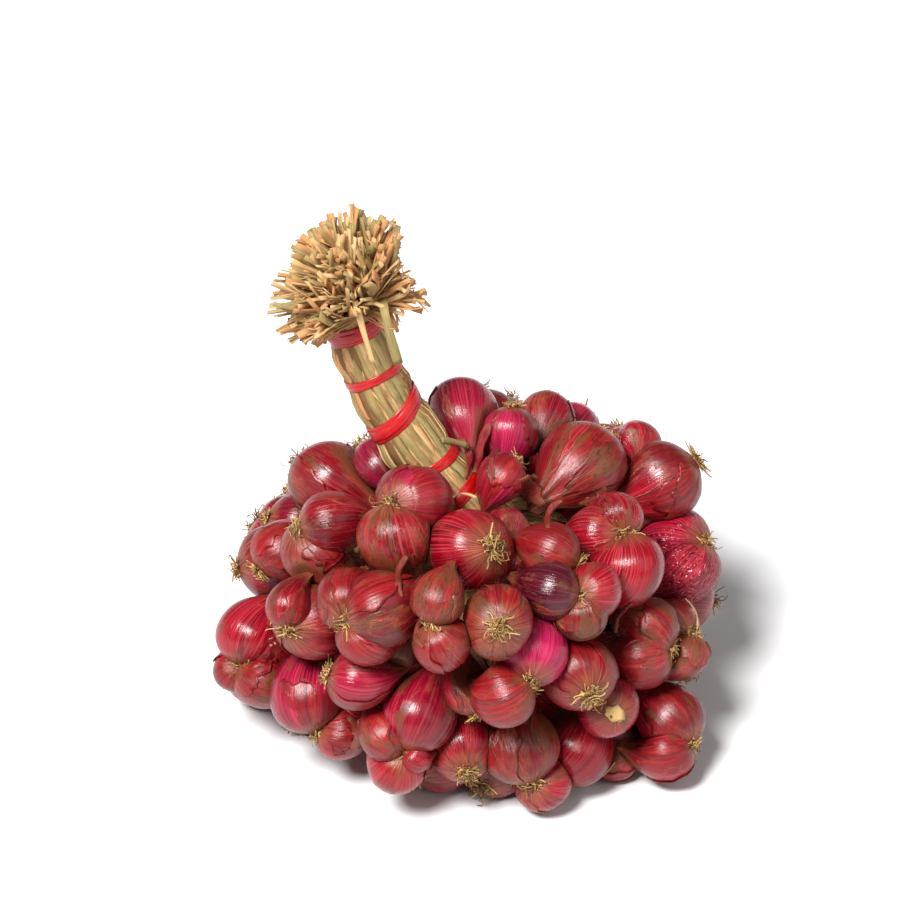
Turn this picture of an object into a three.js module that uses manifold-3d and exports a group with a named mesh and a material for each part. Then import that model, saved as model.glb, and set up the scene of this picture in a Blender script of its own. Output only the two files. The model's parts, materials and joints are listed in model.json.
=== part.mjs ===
// A tied bunch of pink shallots: bulb clusters heaped round the splayed foot of their dried leaves,
// which are bound by five red ties into a leaning stem and cut off in a flared brush.
// Millimetres, +Z up, the bunch rests on its lowest bulbs at z = 0.

import * as THREE from "three";
import { mergeVertices } from "three/addons/utils/BufferGeometryUtils.js";
import Module from "manifold-3d";

const wasm = await Module();
wasm.setup();
const { Manifold, Mesh } = wasm;

// Driving sizes of the heap of bulbs
const HEAP_RADII = new THREE.Vector3(126, 117, 92);
const HEAP_CENTRE_Z = 73;
const CONTACT_GAP = 0.3;
const SMALLEST_STEP = 0.06;
const BULB_SIDES = 7;
const HIDDEN_BULB_SIDES = 6;
const FLOOR_PRESS = 0.88;
const HIDDEN_BULB_LIMIT = 62;
const HIDDEN_BULB_DIAMETER = 33;
const HIDDEN_GROUP_LIMIT = 15;
const HIDDEN_GROUP_SIZE = 5;
const HIDDEN_PLACES = 900;
const BACK_LIMIT = 0.2;
const HIDDEN_SWAY = 0.45;
const HIDDEN_SWAY_UP = 0.3;
const HIDDEN_SIZE_SPREAD = 0.14;
const FLOOR_LEVELLING = 0.25;
const PULL_IN = 0.03;
const PULL_IN_STEPS = 9;
const NARROWEST_HOLE = 22;
const GROUP_TOUCH = 0.76;
const GROUP_RANGE = 1.3;

// Picture plane in which the visible bulbs were read: pixels across and down, seen from above the front
const MM_PER_PIXEL = 0.5;
const PICTURE_CENTRE = { across: 466, down: 588 };
const VIEW_ELEVATION = THREE.MathUtils.degToRad(35);
const RIGHT = new THREE.Vector3(1, 0, 0);
const UP = new THREE.Vector3(0, Math.sin(VIEW_ELEVATION), Math.cos(VIEW_ELEVATION));
const NEAR = new THREE.Vector3(0, -Math.cos(VIEW_ELEVATION), Math.sin(VIEW_ELEVATION));

// Outline of the heap in the picture, clockwise from the left: no hidden bulb shows beyond it
const HEAP_OUTLINE = [
  [211, 640], [214, 606], [264, 503], [305, 449], [440, 386], [462, 371],
  [560, 392], [668, 426], [699, 462], [719, 556], [719, 606], [700, 752],
  [672, 778], [552, 804], [392, 783], [298, 736], [216, 694],
];

// Leaf stem: foot, sideways pull and top of its centre line, as picture pixels and depth in millimetres
const STEM_FOOT = { across: 486, down: 530, near: 30 };
const STEM_PULL = { across: 381, down: 425, near: 54 };
const STEM_TOP = { across: 348, down: 300, near: 78 };
const STEM_RADIUS_FOOT = 17;
const STEM_RADIUS_TOP = 13.4;
const STEM_BULGE = 1.3;
const STEM_SIDES = 18;
const STRAW_RIDGE = 0.7;

// Leaves gathered inside the heap, which the necks of the bulbs run into
const CORE_CENTRE = new THREE.Vector3(0, 4, 76);
const CORE_RADII = new THREE.Vector3(66, 57, 38);
const CORE_FOLD = 0.05;
const CORE_FOLDS = 7;

// Ties, from the bulbs up: place along the stem, width, and slope of the ring across the stem
const TIES = [
  { along: 0.176, width: 5.0, slant: 0.06 },
  { along: 0.315, width: 4.5, slant: -0.08 },
  { along: 0.531, width: 7.0, slant: 0.3 },
  { along: 0.7, width: 3.6, slant: 0.02 },
  { along: 0.883, width: 6.5, slant: 0.04 },
];
const TIE_THICKNESS = 1.0;
const TIE_MARGIN = 0.9;
const TIE_EDGE = 0.8;
const PINCH_REACH = 0.075;

// Stretches of the stem that the bulbs keep off
const SLEEVES = [
  [0, 0.24],
  [0.2, 0.44],
  [0.4, 0.64],
];

// Cut brush at the top of the leaves
const BRUSH_HEART = { across: 353, down: 289, near: 83 };
const BRUSH_HEADING = { across: -0.42, up: 0.62, near: 0.66 };
const BRUSH_CORE_RADIUS = 14;
const BLADE_COUNT = 66;
const BLADE_THICKNESS = 0.9;
const BLADE_WIDTH = 5.0;
const BLADE_REACH = 42;
const BLADE_LEAN = THREE.MathUtils.degToRad(118);
const BLADE_TWIST = 0.9;

// Rings of one bulb from its root plate (0) to the dry tip of its neck (1): radius in diameters
const BULB_PROFILE = [
  { at: 0, radius: 0.15 },
  { at: 0.16, radius: 0.45 },
  { at: 0.39, radius: 0.535 },
  { at: 0.66, radius: 0.31 },
  { at: 1, radius: 0.07 },
];
const FULLNESS = 1.06;
const ROOT_REACH = 0.54;
const KNEE_REACH = 0.2;
const NECK_REACH = 1.0;
const NECK_TURN = 0.6;

// The two balls that stand for a bulb while the heap settles: reach from the root and size, in its own
const BULB_BALLS = [
  { reach: 0.95, radius: 0.49 },
  { reach: 1.7, radius: 0.33 },
];

// Root crown of a plant: size in bulb diameters, then radius and height of its rings
const CROWN_SIZE = 0.17;
const CROWN_POINTS = 6;
const CROWN_PROFILE = [
  [0, -0.9],
  [1, 0],
  [0, 0.2],
];
const CROWN_SPIKE = { spread: 1.25, lift: 0.5 };
const CROWN_DIP = { spread: 0.7, lift: -0.1 };

// Pressing together: how far off a bulb can still touch, and how often its corners are set back
const TOUCH_RANGE = 1.6;
const TOUCH_MARGIN = 22;
const PRESS_ROUNDS = 40;
const SWINGS = [0.5, 0.25, 0.12, 0.06];

// Visible bulbs, one entry for each plant. root: where its root plate shows; facing: +1 towards the
// viewer, 0 sideways, -1 away; bulbs: belly centre across and down, diameter in pixels, lift in mm.
const VISIBLE_CLUSTERS = [
  { root: [303, 461], facing: -1, bulbs: [[329, 481, 72, 0]] },
  { root: [299, 528], facing: 1, bulbs: [[313, 553, 63, 2], [336, 521, 58, -2]] },
  { root: [261, 570], facing: 1, bulbs: [[282, 547, 54, -6]] },
  {
    root: [240, 668],
    facing: 1,
    bulbs: [[246, 612, 58, -6], [263, 640, 69, 3], [231, 676, 44, -3], [263, 692, 50, -2]],
  },
  { root: [290, 627], facing: 1, bulbs: [[288, 597, 42, -4], [313, 620, 68, 3]] },
  { root: [347, 615], facing: 1, bulbs: [[345, 594, 54, 2], [390, 603, 68, 3], [366, 634, 52, -6]] },
  { root: [318, 730], facing: 1, bulbs: [[303, 692, 68, 4], [343, 736, 48, -2]] },
  { root: [334, 670], facing: 0, bulbs: [[360, 678, 54, 0]] },
  {
    root: [402, 742],
    facing: 1,
    bulbs: [[418, 703, 68, 5], [374, 725, 46, -4], [393, 760, 58, -2], [430, 768, 26, -4]],
  },
  { root: [470, 767], facing: 1, bulbs: [[463, 743, 61, 0]] },
  { root: [430, 620], facing: 1, bulbs: [[441, 643, 51, 2], [438, 592, 47, -3]] },
  { root: [499, 623], facing: 1, bulbs: [[497, 619, 61, 2]] },
  { root: [492, 545], facing: 1, bulbs: [[466, 549, 71, 4]] },
  { root: [392, 502], facing: 1, bulbs: [[414, 498, 66, 5], [391, 541, 65, 3]] },
  { root: [517, 533], facing: 1, bulbs: [[507, 521, 49, 0], [506, 575, 36, -8]] },
  { root: [372, 446], facing: -1, bulbs: [[376, 463, 46, -4]] },
  { root: [457, 383], facing: -1, bulbs: [[461, 401, 64, 0], [465, 432, 46, 2]] },
  { root: [512, 404], facing: -1, bulbs: [[509, 432, 46, 0]] },
  { root: [552, 401], facing: -1, bulbs: [[547, 418, 50, 0]] },
  { root: [584, 415], facing: -1, bulbs: [[571, 432, 56, -5]] },
  { root: [601, 440], facing: -1, bulbs: [[583, 464, 76, 5]] },
  { root: [614, 447], facing: 1, bulbs: [[625, 454, 54, 0], [647, 441, 48, -6]] },
  { root: [690, 466], facing: 0, bulbs: [[664, 483, 68, 2]] },
  { root: [622, 532], facing: 1, bulbs: [[599, 535, 56, -2], [619, 513, 44, -6], [634, 571, 66, 3]] },
  { root: [706, 541], facing: 1, bulbs: [[678, 541, 62, 0], [691, 574, 60, 0]] },
  { root: [576, 563], facing: 1, bulbs: [[547, 551, 53, 0]] },
  { root: [578, 590], facing: 1, bulbs: [[544, 587, 51, -3], [598, 588, 50, 0], [583, 613, 50, -4]] },
  { root: [528, 675], facing: 1, bulbs: [[530, 645, 65, 8], [502, 695, 56, 2]] },
  { root: [533, 777], facing: 1, bulbs: [[520, 735, 66, 2], [548, 782, 52, 0]] },
  { root: [553, 774], facing: 0, bulbs: [[578, 757, 64, 3]] },
  { root: [588, 690], facing: 1, bulbs: [[577, 670, 64, 3]] },
  { root: [612, 708], facing: 1, bulbs: [[607, 705, 56, 3]] },
  { root: [635, 747], facing: 1, bulbs: [[620, 738, 52, 0], [613, 764, 38, -4]] },
  { root: [671, 650], facing: 1, bulbs: [[643, 625, 56, 0], [640, 662, 56, 2]] },
  { root: [692, 625], facing: 1, bulbs: [[673, 622, 50, -2], [685, 664, 46, -5]] },
  { root: [692, 742], facing: 1, bulbs: [[671, 717, 61, 0], [665, 757, 50, -2]] },
  { root: [477, 712], facing: 1, bulbs: [[467, 684, 46, -2]] },
  { root: [515, 461], facing: -1, bulbs: [[500, 476, 44, -3]] },
  { root: [395, 660], facing: -1, bulbs: [[396, 652, 50, -14]] },
];

// Skins, straw and ties
const SKIN_COLOURS = ["#a52d41", "#b03348", "#962539", "#b4435a", "#a63a3a", "#8e2b4a"];
const STRAW_COLOUR = "#bfa268";
const TIE_COLOUR = "#cd141c";

const vector = (x, y, z) => new THREE.Vector3(x, y, z);
const mix = THREE.MathUtils.lerp;
const SKEW = vector(0.36, 0.48, 0.8);
const GOLDEN_TURN = Math.PI * (3 - Math.sqrt(5));

// A repeatable draw between 0 and 1 for the given piece and purpose
function scatter(index, purpose) {
  const wave = Math.sin(index * 127.1 + purpose * 311.7) * 43758.5453;
  return wave - Math.floor(wave);
}

function pictureVector(across, up, near) {
  return vector(0, 0, 0).addScaledVector(RIGHT, across).addScaledVector(UP, up).addScaledVector(NEAR, near);
}

function picturePoint(across, down, near) {
  const point = pictureVector(
    (across - PICTURE_CENTRE.across) * MM_PER_PIXEL,
    (PICTURE_CENTRE.down - down) * MM_PER_PIXEL,
    near,
  );
  point.z += HEAP_CENTRE_Z;
  return point;
}

// Depth at which a bulb of the given radius, seen at these pixels, lies in the heap's outer layer
function heapDepth(across, down, radius) {
  const x = (across - PICTURE_CENTRE.across) * MM_PER_PIXEL;
  const y = (PICTURE_CENTRE.down - down) * MM_PER_PIXEL;
  const a = HEAP_RADII.x - radius;
  const b = HEAP_RADII.y - radius;
  const c = HEAP_RADII.z - radius;
  const sine = Math.sin(VIEW_ELEVATION);
  const cosine = Math.cos(VIEW_ELEVATION);
  const square = (cosine / b) ** 2 + (sine / c) ** 2;
  const linear = 2 * y * sine * cosine * (1 / c ** 2 - 1 / b ** 2);
  const rest = (x / a) ** 2 + y ** 2 * ((sine / b) ** 2 + (cosine / c) ** 2) - 1;
  const root = Math.sqrt(Math.max(0, linear ** 2 - 4 * square * rest));
  const onHeap = (root - linear) / (2 * square);
  const onFloor = (radius * FLOOR_PRESS - HEAP_CENTRE_Z - y * cosine) / sine;
  return Math.max(onHeap, onFloor);
}

// One plant: bulbs that share a root plate, with a root point and a direction to each belly
function visibleCluster(entry) {
  const [rootAcross, rootDown] = entry.root;
  const leaning = entry.bulbs.map(([across, down, size, lift]) => {
    const diameter = size * MM_PER_PIXEL * FULLNESS;
    const reach = diameter * ROOT_REACH;
    const sideways = Math.hypot(rootAcross - across, rootDown - down) * MM_PER_PIXEL;
    const towards = entry.facing * Math.sqrt(Math.max(0, reach ** 2 - sideways ** 2));
    const depth = heapDepth(across, down, diameter / 2) + lift;
    return { across, down, diameter, depth, towards };
  });
  const rootDepth = leaning.reduce((sum, bulb) => sum + bulb.depth + bulb.towards, 0) / leaning.length;
  const root = picturePoint(rootAcross, rootDown, rootDepth);
  const bulbs = leaning.map(({ across, down, diameter, towards }) => {
    const belly = picturePoint(across, down, rootDepth - towards);
    const way = belly.sub(root).normalize();
    return { diameter, way, reach: diameter * ROOT_REACH };
  });
  // The plant is set so that its bellies, not its root, keep their places in the picture
  const drift = vector(0, 0, 0);
  bulbs.forEach((bulb, index) => {
    const { across, down, depth } = leaning[index];
    const wanted = picturePoint(across, down, depth);
    drift.add(wanted.sub(root).addScaledVector(bulb.way, -bulb.reach));
  });
  root.addScaledVector(drift, 1 / bulbs.length);
  return { root, bulbs, seen: true };
}

// Even places over the heap's outer layer, the lowest of them lifted to lie on the floor
function heapPlaces(count, radius) {
  const places = [];
  for (let index = 0; index < count; index += 1) {
    const height = 1 - (2 * (index + 0.5)) / count;
    const around = Math.sqrt(1 - height ** 2);
    const angle = index * GOLDEN_TURN;
    const outward = vector(around * Math.cos(angle), around * Math.sin(angle), height);
    const place = vector(
      outward.x * (HEAP_RADII.x - radius),
      outward.y * (HEAP_RADII.y - radius),
      outward.z * (HEAP_RADII.z - radius) + HEAP_CENTRE_Z,
    );
    place.z = Math.max(place.z, radius * FLOOR_PRESS);
    places.push({ place, outward });
  }
  return places;
}

// How far a place lies inside the picture outline, and the way back in
function outlineRoom(place) {
  const across = place.dot(RIGHT);
  const up = place.dot(UP) - HEAP_CENTRE_Z * UP.z;
  let room = Infinity;
  let inwards = null;
  HEAP_OUTLINE.forEach(([startAcross, startDown], index) => {
    const [endAcross, endDown] = HEAP_OUTLINE[(index + 1) % HEAP_OUTLINE.length];
    const length = Math.hypot(endAcross - startAcross, endDown - startDown);
    const normalAcross = (startDown - endDown) / length;
    const normalUp = (startAcross - endAcross) / length;
    const offAcross = across - (startAcross - PICTURE_CENTRE.across) * MM_PER_PIXEL;
    const offUp = up - (PICTURE_CENTRE.down - startDown) * MM_PER_PIXEL;
    const inside = offAcross * normalAcross + offUp * normalUp;
    if (inside < room) {
      room = inside;
      inwards = pictureVector(normalAcross, normalUp, 0);
    }
  });
  return { room, inwards };
}

const bellyOf = (cluster, bulb) => cluster.root.clone().addScaledVector(bulb.way, bulb.reach);

// One bulb of the back or underside, root outwards, or sideways where it lies on the floor
function hiddenBulb({ place, outward }, index) {
  const rootWay = outward.clone();
  if (place.z < HIDDEN_BULB_DIAMETER) {
    rootWay.z *= FLOOR_LEVELLING;
  }
  rootWay.x += mix(-HIDDEN_SWAY, HIDDEN_SWAY, scatter(index, 1));
  rootWay.y += mix(-HIDDEN_SWAY, HIDDEN_SWAY, scatter(index, 2));
  rootWay.z += mix(-HIDDEN_SWAY_UP, HIDDEN_SWAY_UP, scatter(index, 3));
  rootWay.normalize();
  const spread = mix(1 - HIDDEN_SIZE_SPREAD, 1 + HIDDEN_SIZE_SPREAD, scatter(index, 4));
  const diameter = HIDDEN_BULB_DIAMETER * spread;
  const reach = diameter * ROOT_REACH;
  const root = place.clone().addScaledVector(rootWay, reach);
  return { root, bulbs: [{ diameter, way: rootWay.negate(), reach }], seen: false };
}

// The back and underside are filled one bulb at a time, each in the middle of the widest hole left
function fillHiddenSide(clusters) {
  const radius = HIDDEN_BULB_DIAMETER / 2;
  const open = heapPlaces(HIDDEN_PLACES, radius).filter(({ outward }) => outward.dot(NEAR) < BACK_LIMIT);
  for (const { place } of open) {
    for (let step = 0; step < PULL_IN_STEPS && outlineRoom(place).room < radius * 0.9; step += 1) {
      place.lerp(CORE_CENTRE, PULL_IN);
    }
  }
  const bellies = clusters.flatMap((cluster) => cluster.bulbs.map((bulb) => bellyOf(cluster, bulb)));
  for (let index = 1; index <= HIDDEN_BULB_LIMIT; index += 1) {
    let best = null;
    let widest = 0;
    for (const candidate of open) {
      const room = Math.min(...bellies.map((belly) => belly.distanceTo(candidate.place)));
      if (room > widest) {
        widest = room;
        best = candidate;
      }
    }
    if (widest < NARROWEST_HOLE) {
      return;
    }
    clusters.push(hiddenBulb(best, index));
    bellies.push(best.place);
  }
}

const stemCurve = new THREE.QuadraticBezierCurve3(
  picturePoint(STEM_FOOT.across, STEM_FOOT.down, STEM_FOOT.near),
  picturePoint(STEM_PULL.across, STEM_PULL.down, STEM_PULL.near),
  picturePoint(STEM_TOP.across, STEM_TOP.down, STEM_TOP.near),
);

// Nearest point to a place on the straight line between two ends
function nearestOnLine(place, from, to) {
  return new THREE.Line3(from, to).closestPointToPoint(place, true, vector(0, 0, 0));
}

// Clusters are eased apart as whole plants until their bulbs only press lightly together
function easeApart(clusters) {
  const ROUNDS = 220;
  const STEP = 0.3;
  const HOLD_IN_PICTURE = 0.75;
  const HOLD = 0.995;
  const HIDDEN_YIELD = 0.8;
  const NEAR_FLOOR = 3.5;
  const balls = [];
  clusters.forEach((cluster, owner) => {
    cluster.home = cluster.root.clone();
    for (const bulb of cluster.bulbs) {
      for (const { reach, radius } of BULB_BALLS) {
        balls.push({ owner, way: bulb.way, reach: bulb.reach * reach, radius: bulb.diameter * radius });
      }
    }
  });
  for (const ball of balls) {
    const start = clusters[ball.owner].root.z + ball.way.z * ball.reach;
    ball.grounded = start < ball.radius * FLOOR_PRESS + NEAR_FLOOR;
  }
  const stemLow = stemCurve.getPoint(0);
  const stemHigh = stemCurve.getPoint(0.5);
  for (let round = 0; round < ROUNDS; round += 1) {
    for (const ball of balls) {
      ball.centre = clusters[ball.owner].root.clone().addScaledVector(ball.way, ball.reach);
    }
    const pushes = clusters.map(() => vector(0, 0, 0));
    for (let i = 0; i < balls.length; i += 1) {
      const one = balls[i];
      for (let j = i + 1; j < balls.length; j += 1) {
        const other = balls[j];
        if (one.owner !== other.owner) {
          const between = other.centre.clone().sub(one.centre);
          const distance = between.length();
          const overlap = one.radius + other.radius - distance;
          if (overlap > 0) {
            const share = clusters[one.owner].seen === clusters[other.owner].seen ? 0.5 : HIDDEN_YIELD;
            const oneShare = clusters[one.owner].seen ? 1 - share : share;
            between.multiplyScalar(overlap / distance);
            pushes[one.owner].addScaledVector(between, -oneShare);
            pushes[other.owner].addScaledVector(between, 1 - oneShare);
          }
        }
      }
      const sunk = one.radius * FLOOR_PRESS - one.centre.z;
      const rise = one.grounded ? sunk : Math.max(0, sunk);
      if (clusters[one.owner].seen) {
        pushes[one.owner].addScaledVector(NEAR, rise / NEAR.z);
      } else {
        pushes[one.owner].z += rise;
      }
      const away = one.centre.clone().sub(nearestOnLine(one.centre, stemLow, stemHigh));
      const inStem = one.radius + STEM_RADIUS_FOOT - away.length();
      if (inStem > 0) {
        pushes[one.owner].addScaledVector(away.normalize(), inStem);
      }
      if (!clusters[one.owner].seen) {
        const { room, inwards } = outlineRoom(one.centre);
        pushes[one.owner].addScaledVector(inwards, Math.max(0, one.radius - room));
      }
    }
    clusters.forEach((cluster, owner) => {
      cluster.root.addScaledVector(pushes[owner], STEP);
      const strayed = cluster.root.clone().sub(cluster.home);
      const inDepth = NEAR.clone().multiplyScalar(strayed.dot(NEAR));
      const inPicture = strayed.sub(inDepth);
      const hold = cluster.seen ? HOLD_IN_PICTURE : HOLD;
      cluster.root.copy(cluster.home).addScaledVector(inDepth, HOLD).addScaledVector(inPicture, hold);
    });
  }
}

// The bent centre line of a bulb, from its root plate to the tip of its neck
function bulbSpine(cluster, bulb) {
  const belly = bellyOf(cluster, bulb);
  const aim = nearestOnLine(belly, stemCurve.getPoint(0), CORE_CENTRE).sub(belly).normalize();
  const neckWay = bulb.way.clone().multiplyScalar(1 - NECK_TURN).addScaledVector(aim, NECK_TURN).normalize();
  const knee = belly.clone().addScaledVector(bulb.way, bulb.diameter * KNEE_REACH);
  const tip = belly.clone().addScaledVector(neckWay, bulb.diameter * NECK_REACH);
  return new THREE.QuadraticBezierCurve3(cluster.root.clone(), knee, tip);
}

// Bare triangles of a three.js geometry with its shared corners merged, each corner moved by place
function shapeFrom(geometry, place) {
  const bare = geometry.clone();
  bare.deleteAttribute("normal");
  bare.deleteAttribute("uv");
  const merged = mergeVertices(bare, 1e-4);
  const corners = [];
  for (let index = 0; index < merged.attributes.position.count; index += 1) {
    corners.push(place(vector(0, 0, 0).fromBufferAttribute(merged.attributes.position, index)));
  }
  const faces = [];
  for (let index = 0; index < merged.index.count; index += 3) {
    const face = [0, 1, 2].map((step) => merged.index.getX(index + step));
    if (new Set(face).size === 3) {
      faces.push(face);
    }
  }
  const volume = faces.reduce((sum, [a, b, c]) => {
    const cross = vector(0, 0, 0).crossVectors(corners[b], corners[c]);
    return sum + corners[a].dot(cross);
  }, 0);
  return { corners, faces: volume > 0 ? faces : faces.map(([a, b, c]) => [a, c, b]) };
}

function solidFrom({ corners, faces }) {
  const vertProperties = new Float32Array(corners.flatMap((corner) => corner.toArray()));
  const triVerts = new Uint32Array(faces.flat());
  return new Manifold(new Mesh({ numProp: 3, vertProperties, triVerts }));
}

// The largest shell of a joined solid: a hollow sealed between its pieces is filled by it
function outerShell(solid) {
  return solid.decompose().reduce((one, other) => (other.volume() > one.volume() ? other : one));
}

function meshFrom(solid, name, material) {
  const { vertProperties, triVerts } = solid.getMesh();
  const geometry = new THREE.BufferGeometry();
  geometry.setAttribute("position", new THREE.BufferAttribute(vertProperties.slice(), 3));
  geometry.setIndex(new THREE.BufferAttribute(triVerts.slice(), 1));
  geometry.computeVertexNormals();
  const mesh = new THREE.Mesh(geometry, material);
  mesh.name = name;
  return mesh;
}

// A bulb: a lathed pear shape bent along its spine
const bulbOutline = [
  new THREE.Vector2(0, 0),
  ...BULB_PROFILE.map(({ at, radius }) => new THREE.Vector2(radius, at)),
  new THREE.Vector2(0, 1),
];
const seenLathe = new THREE.LatheGeometry(bulbOutline, BULB_SIDES);
const hiddenLathe = new THREE.LatheGeometry(bulbOutline, HIDDEN_BULB_SIDES);

function bulbShape(cluster, bulb) {
  const spine = bulbSpine(cluster, bulb);
  let flank = vector(0, 0, 0).crossVectors(bulb.way, spine.v2.clone().sub(spine.v1));
  if (flank.length() < 0.5) {
    flank = vector(0, 0, 0).crossVectors(bulb.way, SKEW);
  }
  flank.normalize();
  return shapeFrom(cluster.seen ? seenLathe : hiddenLathe, (corner) => {
    const tangent = spine.getTangent(corner.y);
    const other = vector(0, 0, 0).crossVectors(tangent, flank);
    return spine
      .getPoint(corner.y)
      .addScaledVector(flank, corner.x * bulb.diameter)
      .addScaledVector(other, corner.z * bulb.diameter);
  });
}

const reachAlong = (corners, way) => Math.max(...corners.map((corner) => corner.dot(way)));

// Direction in which two shapes overlap least, and by how much
function leastOverlap(one, other) {
  const depthAlong = (way) => reachAlong(one.corners, way) + reachAlong(other.corners, way.clone().negate());
  let best = other.middle.clone().sub(one.middle).normalize();
  let depth = depthAlong(best);
  for (const swing of SWINGS) {
    const side = vector(0, 0, 0).crossVectors(best, SKEW).normalize();
    const rise = vector(0, 0, 0).crossVectors(best, side);
    for (let turn = 0; turn < 8; turn += 1) {
      const angle = (turn * Math.PI) / 4;
      const way = best.clone().addScaledVector(side, Math.cos(angle) * swing);
      way.addScaledVector(rise, Math.sin(angle) * swing).normalize();
      const found = depthAlong(way);
      if (found < depth) {
        depth = found;
        best = way;
      }
    }
  }
  return { way: best, depth };
}

// Where bulbs of two plants would cross, both are pressed flat on either side of a plane between them
function pressFlat(bulbShapes, obstacles) {
  for (const shape of [...bulbShapes, ...obstacles]) {
    const sum = shape.corners.reduce((total, corner) => total.add(corner), vector(0, 0, 0));
    shape.middle = shape.belly ?? sum.divideScalar(shape.corners.length);
    shape.limits = [];
  }
  bulbShapes.forEach((one, index) => {
    for (const other of bulbShapes.slice(index + 1)) {
      const range = (TOUCH_RANGE * (one.diameter + other.diameter)) / 2 + TOUCH_MARGIN;
      if (one.owner !== other.owner && one.middle.distanceTo(other.middle) < range) {
        const { way, depth } = leastOverlap(one, other);
        if (depth > -CONTACT_GAP) {
          const level = reachAlong(one.corners, way) - depth / 2;
          one.limits.push({ way, level: level - CONTACT_GAP / 2 });
          other.limits.push({ way: way.clone().negate(), level: -level - CONTACT_GAP / 2 });
        }
      }
    }
    for (const obstacle of obstacles) {
      const { way, depth } = leastOverlap(one, obstacle);
      if (depth > -CONTACT_GAP) {
        one.limits.push({ way, level: reachAlong(one.corners, way) - depth - CONTACT_GAP });
      }
    }
  });
  for (const shape of bulbShapes) {
    for (let round = 0; round < PRESS_ROUNDS; round += 1) {
      for (const { way, level } of shape.limits) {
        for (const corner of shape.corners) {
          const over = corner.dot(way) - level;
          if (over > 0) {
            corner.addScaledVector(way, -over);
          }
        }
      }
    }
  }
}

// The stem's radius, with straw ridges that die out under each tie, and the slant of its rings
function stemRing(along) {
  const even = mix(STEM_RADIUS_FOOT, STEM_RADIUS_TOP, along);
  let nearest = 1;
  let slant = 0;
  let weight = 0;
  for (const tie of TIES) {
    const away = Math.abs(along - tie.along) / PINCH_REACH;
    nearest = Math.min(nearest, away);
    const pull = 1 / (0.02 + away ** 4);
    slant += tie.slant * pull;
    weight += pull;
  }
  return { radius: even + STEM_BULGE * nearest ** 2, ridge: STRAW_RIDGE * nearest, slant: slant / weight };
}

// A point on or round the stem: place along it, angle about it, distance from its centre line
function stemPoint(along, angle, distance, slant) {
  const tangent = stemCurve.getTangent(along);
  const flank = vector(0, 0, 0).crossVectors(tangent, NEAR).normalize();
  const front = vector(0, 0, 0).crossVectors(flank, tangent);
  return stemCurve
    .getPoint(along)
    .addScaledVector(flank, Math.cos(angle) * distance)
    .addScaledVector(front, Math.sin(angle) * distance)
    .addScaledVector(tangent, Math.cos(angle) * distance * slant);
}

const alongPerMm = 1 / stemCurve.getLength();

// Rings of the stem stand at both edges of every tie, in the middle between ties, and at both ends
function stemStations() {
  const stations = [{ along: 0, tied: false }];
  let last = 0;
  for (const tie of TIES) {
    const half = (tie.width / 2 + TIE_MARGIN) * alongPerMm;
    stations.push({ along: (last + tie.along - half) / 2, tied: false });
    stations.push({ along: tie.along - half, tied: tie });
    stations.push({ along: tie.along + half, tied: tie });
    last = tie.along + half;
  }
  stations.push({ along: (last + 1) / 2, tied: false });
  stations.push({ along: 1, tied: false });
  return stations;
}

// Corners of a stretch of the stem with its ties, for the bulbs to keep off
function stemSleeve(from, to) {
  const corners = [];
  for (const along of [from, (from + to) / 2, to]) {
    const radius = mix(STEM_RADIUS_FOOT, STEM_RADIUS_TOP, along) + STEM_BULGE + STRAW_RIDGE + CONTACT_GAP;
    for (let turn = 0; turn < STEM_SIDES; turn += 1) {
      corners.push(stemPoint(along, (turn / STEM_SIDES) * 2 * Math.PI, radius, 0));
    }
  }
  return { corners };
}

function tiedRadius(tie) {
  return mix(STEM_RADIUS_FOOT, STEM_RADIUS_TOP, tie.along);
}

function stemShape() {
  const stations = stemStations();
  const tube = new THREE.CylinderGeometry(1, 1, 1, STEM_SIDES, stations.length - 1);
  return shapeFrom(tube, (corner) => {
    const { along, tied } = stations[Math.round((corner.y + 0.5) * (stations.length - 1))];
    const onAxis = Math.hypot(corner.x, corner.z) < 0.5;
    const angle = Math.atan2(corner.z, corner.x);
    const rib = Math.round((angle / (2 * Math.PI)) * STEM_SIDES) % 2 === 0 ? 1 : -1;
    const ring = stemRing(along);
    const radius = tied ? tiedRadius(tied) : ring.radius + rib * ring.ridge;
    return stemPoint(along, angle, onAxis ? 0 : radius, tied ? tied.slant : ring.slant);
  });
}

// The leaves inside the heap: a flattened core with shallow folds that fan out from the stem
function coreShape() {
  const ball = new THREE.SphereGeometry(1, 14, 6);
  return shapeFrom(ball, (corner) => {
    const fold = 1 + CORE_FOLD * Math.cos(Math.atan2(corner.z, corner.x) * CORE_FOLDS);
    return vector(corner.x * fold, corner.z * fold, corner.y).multiply(CORE_RADII).add(CORE_CENTRE);
  });
}

// The brush: a small core and flat cut blades that stand out of it all round, denser ahead
function brushHeading() {
  return pictureVector(BRUSH_HEADING.across, BRUSH_HEADING.up, BRUSH_HEADING.near).normalize();
}

function brushCoreShape() {
  const heart = picturePoint(BRUSH_HEART.across, BRUSH_HEART.down, BRUSH_HEART.near);
  const ball = new THREE.IcosahedronGeometry(BRUSH_CORE_RADIUS, 1);
  return shapeFrom(ball, (corner) => corner.clone().add(heart));
}

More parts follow.
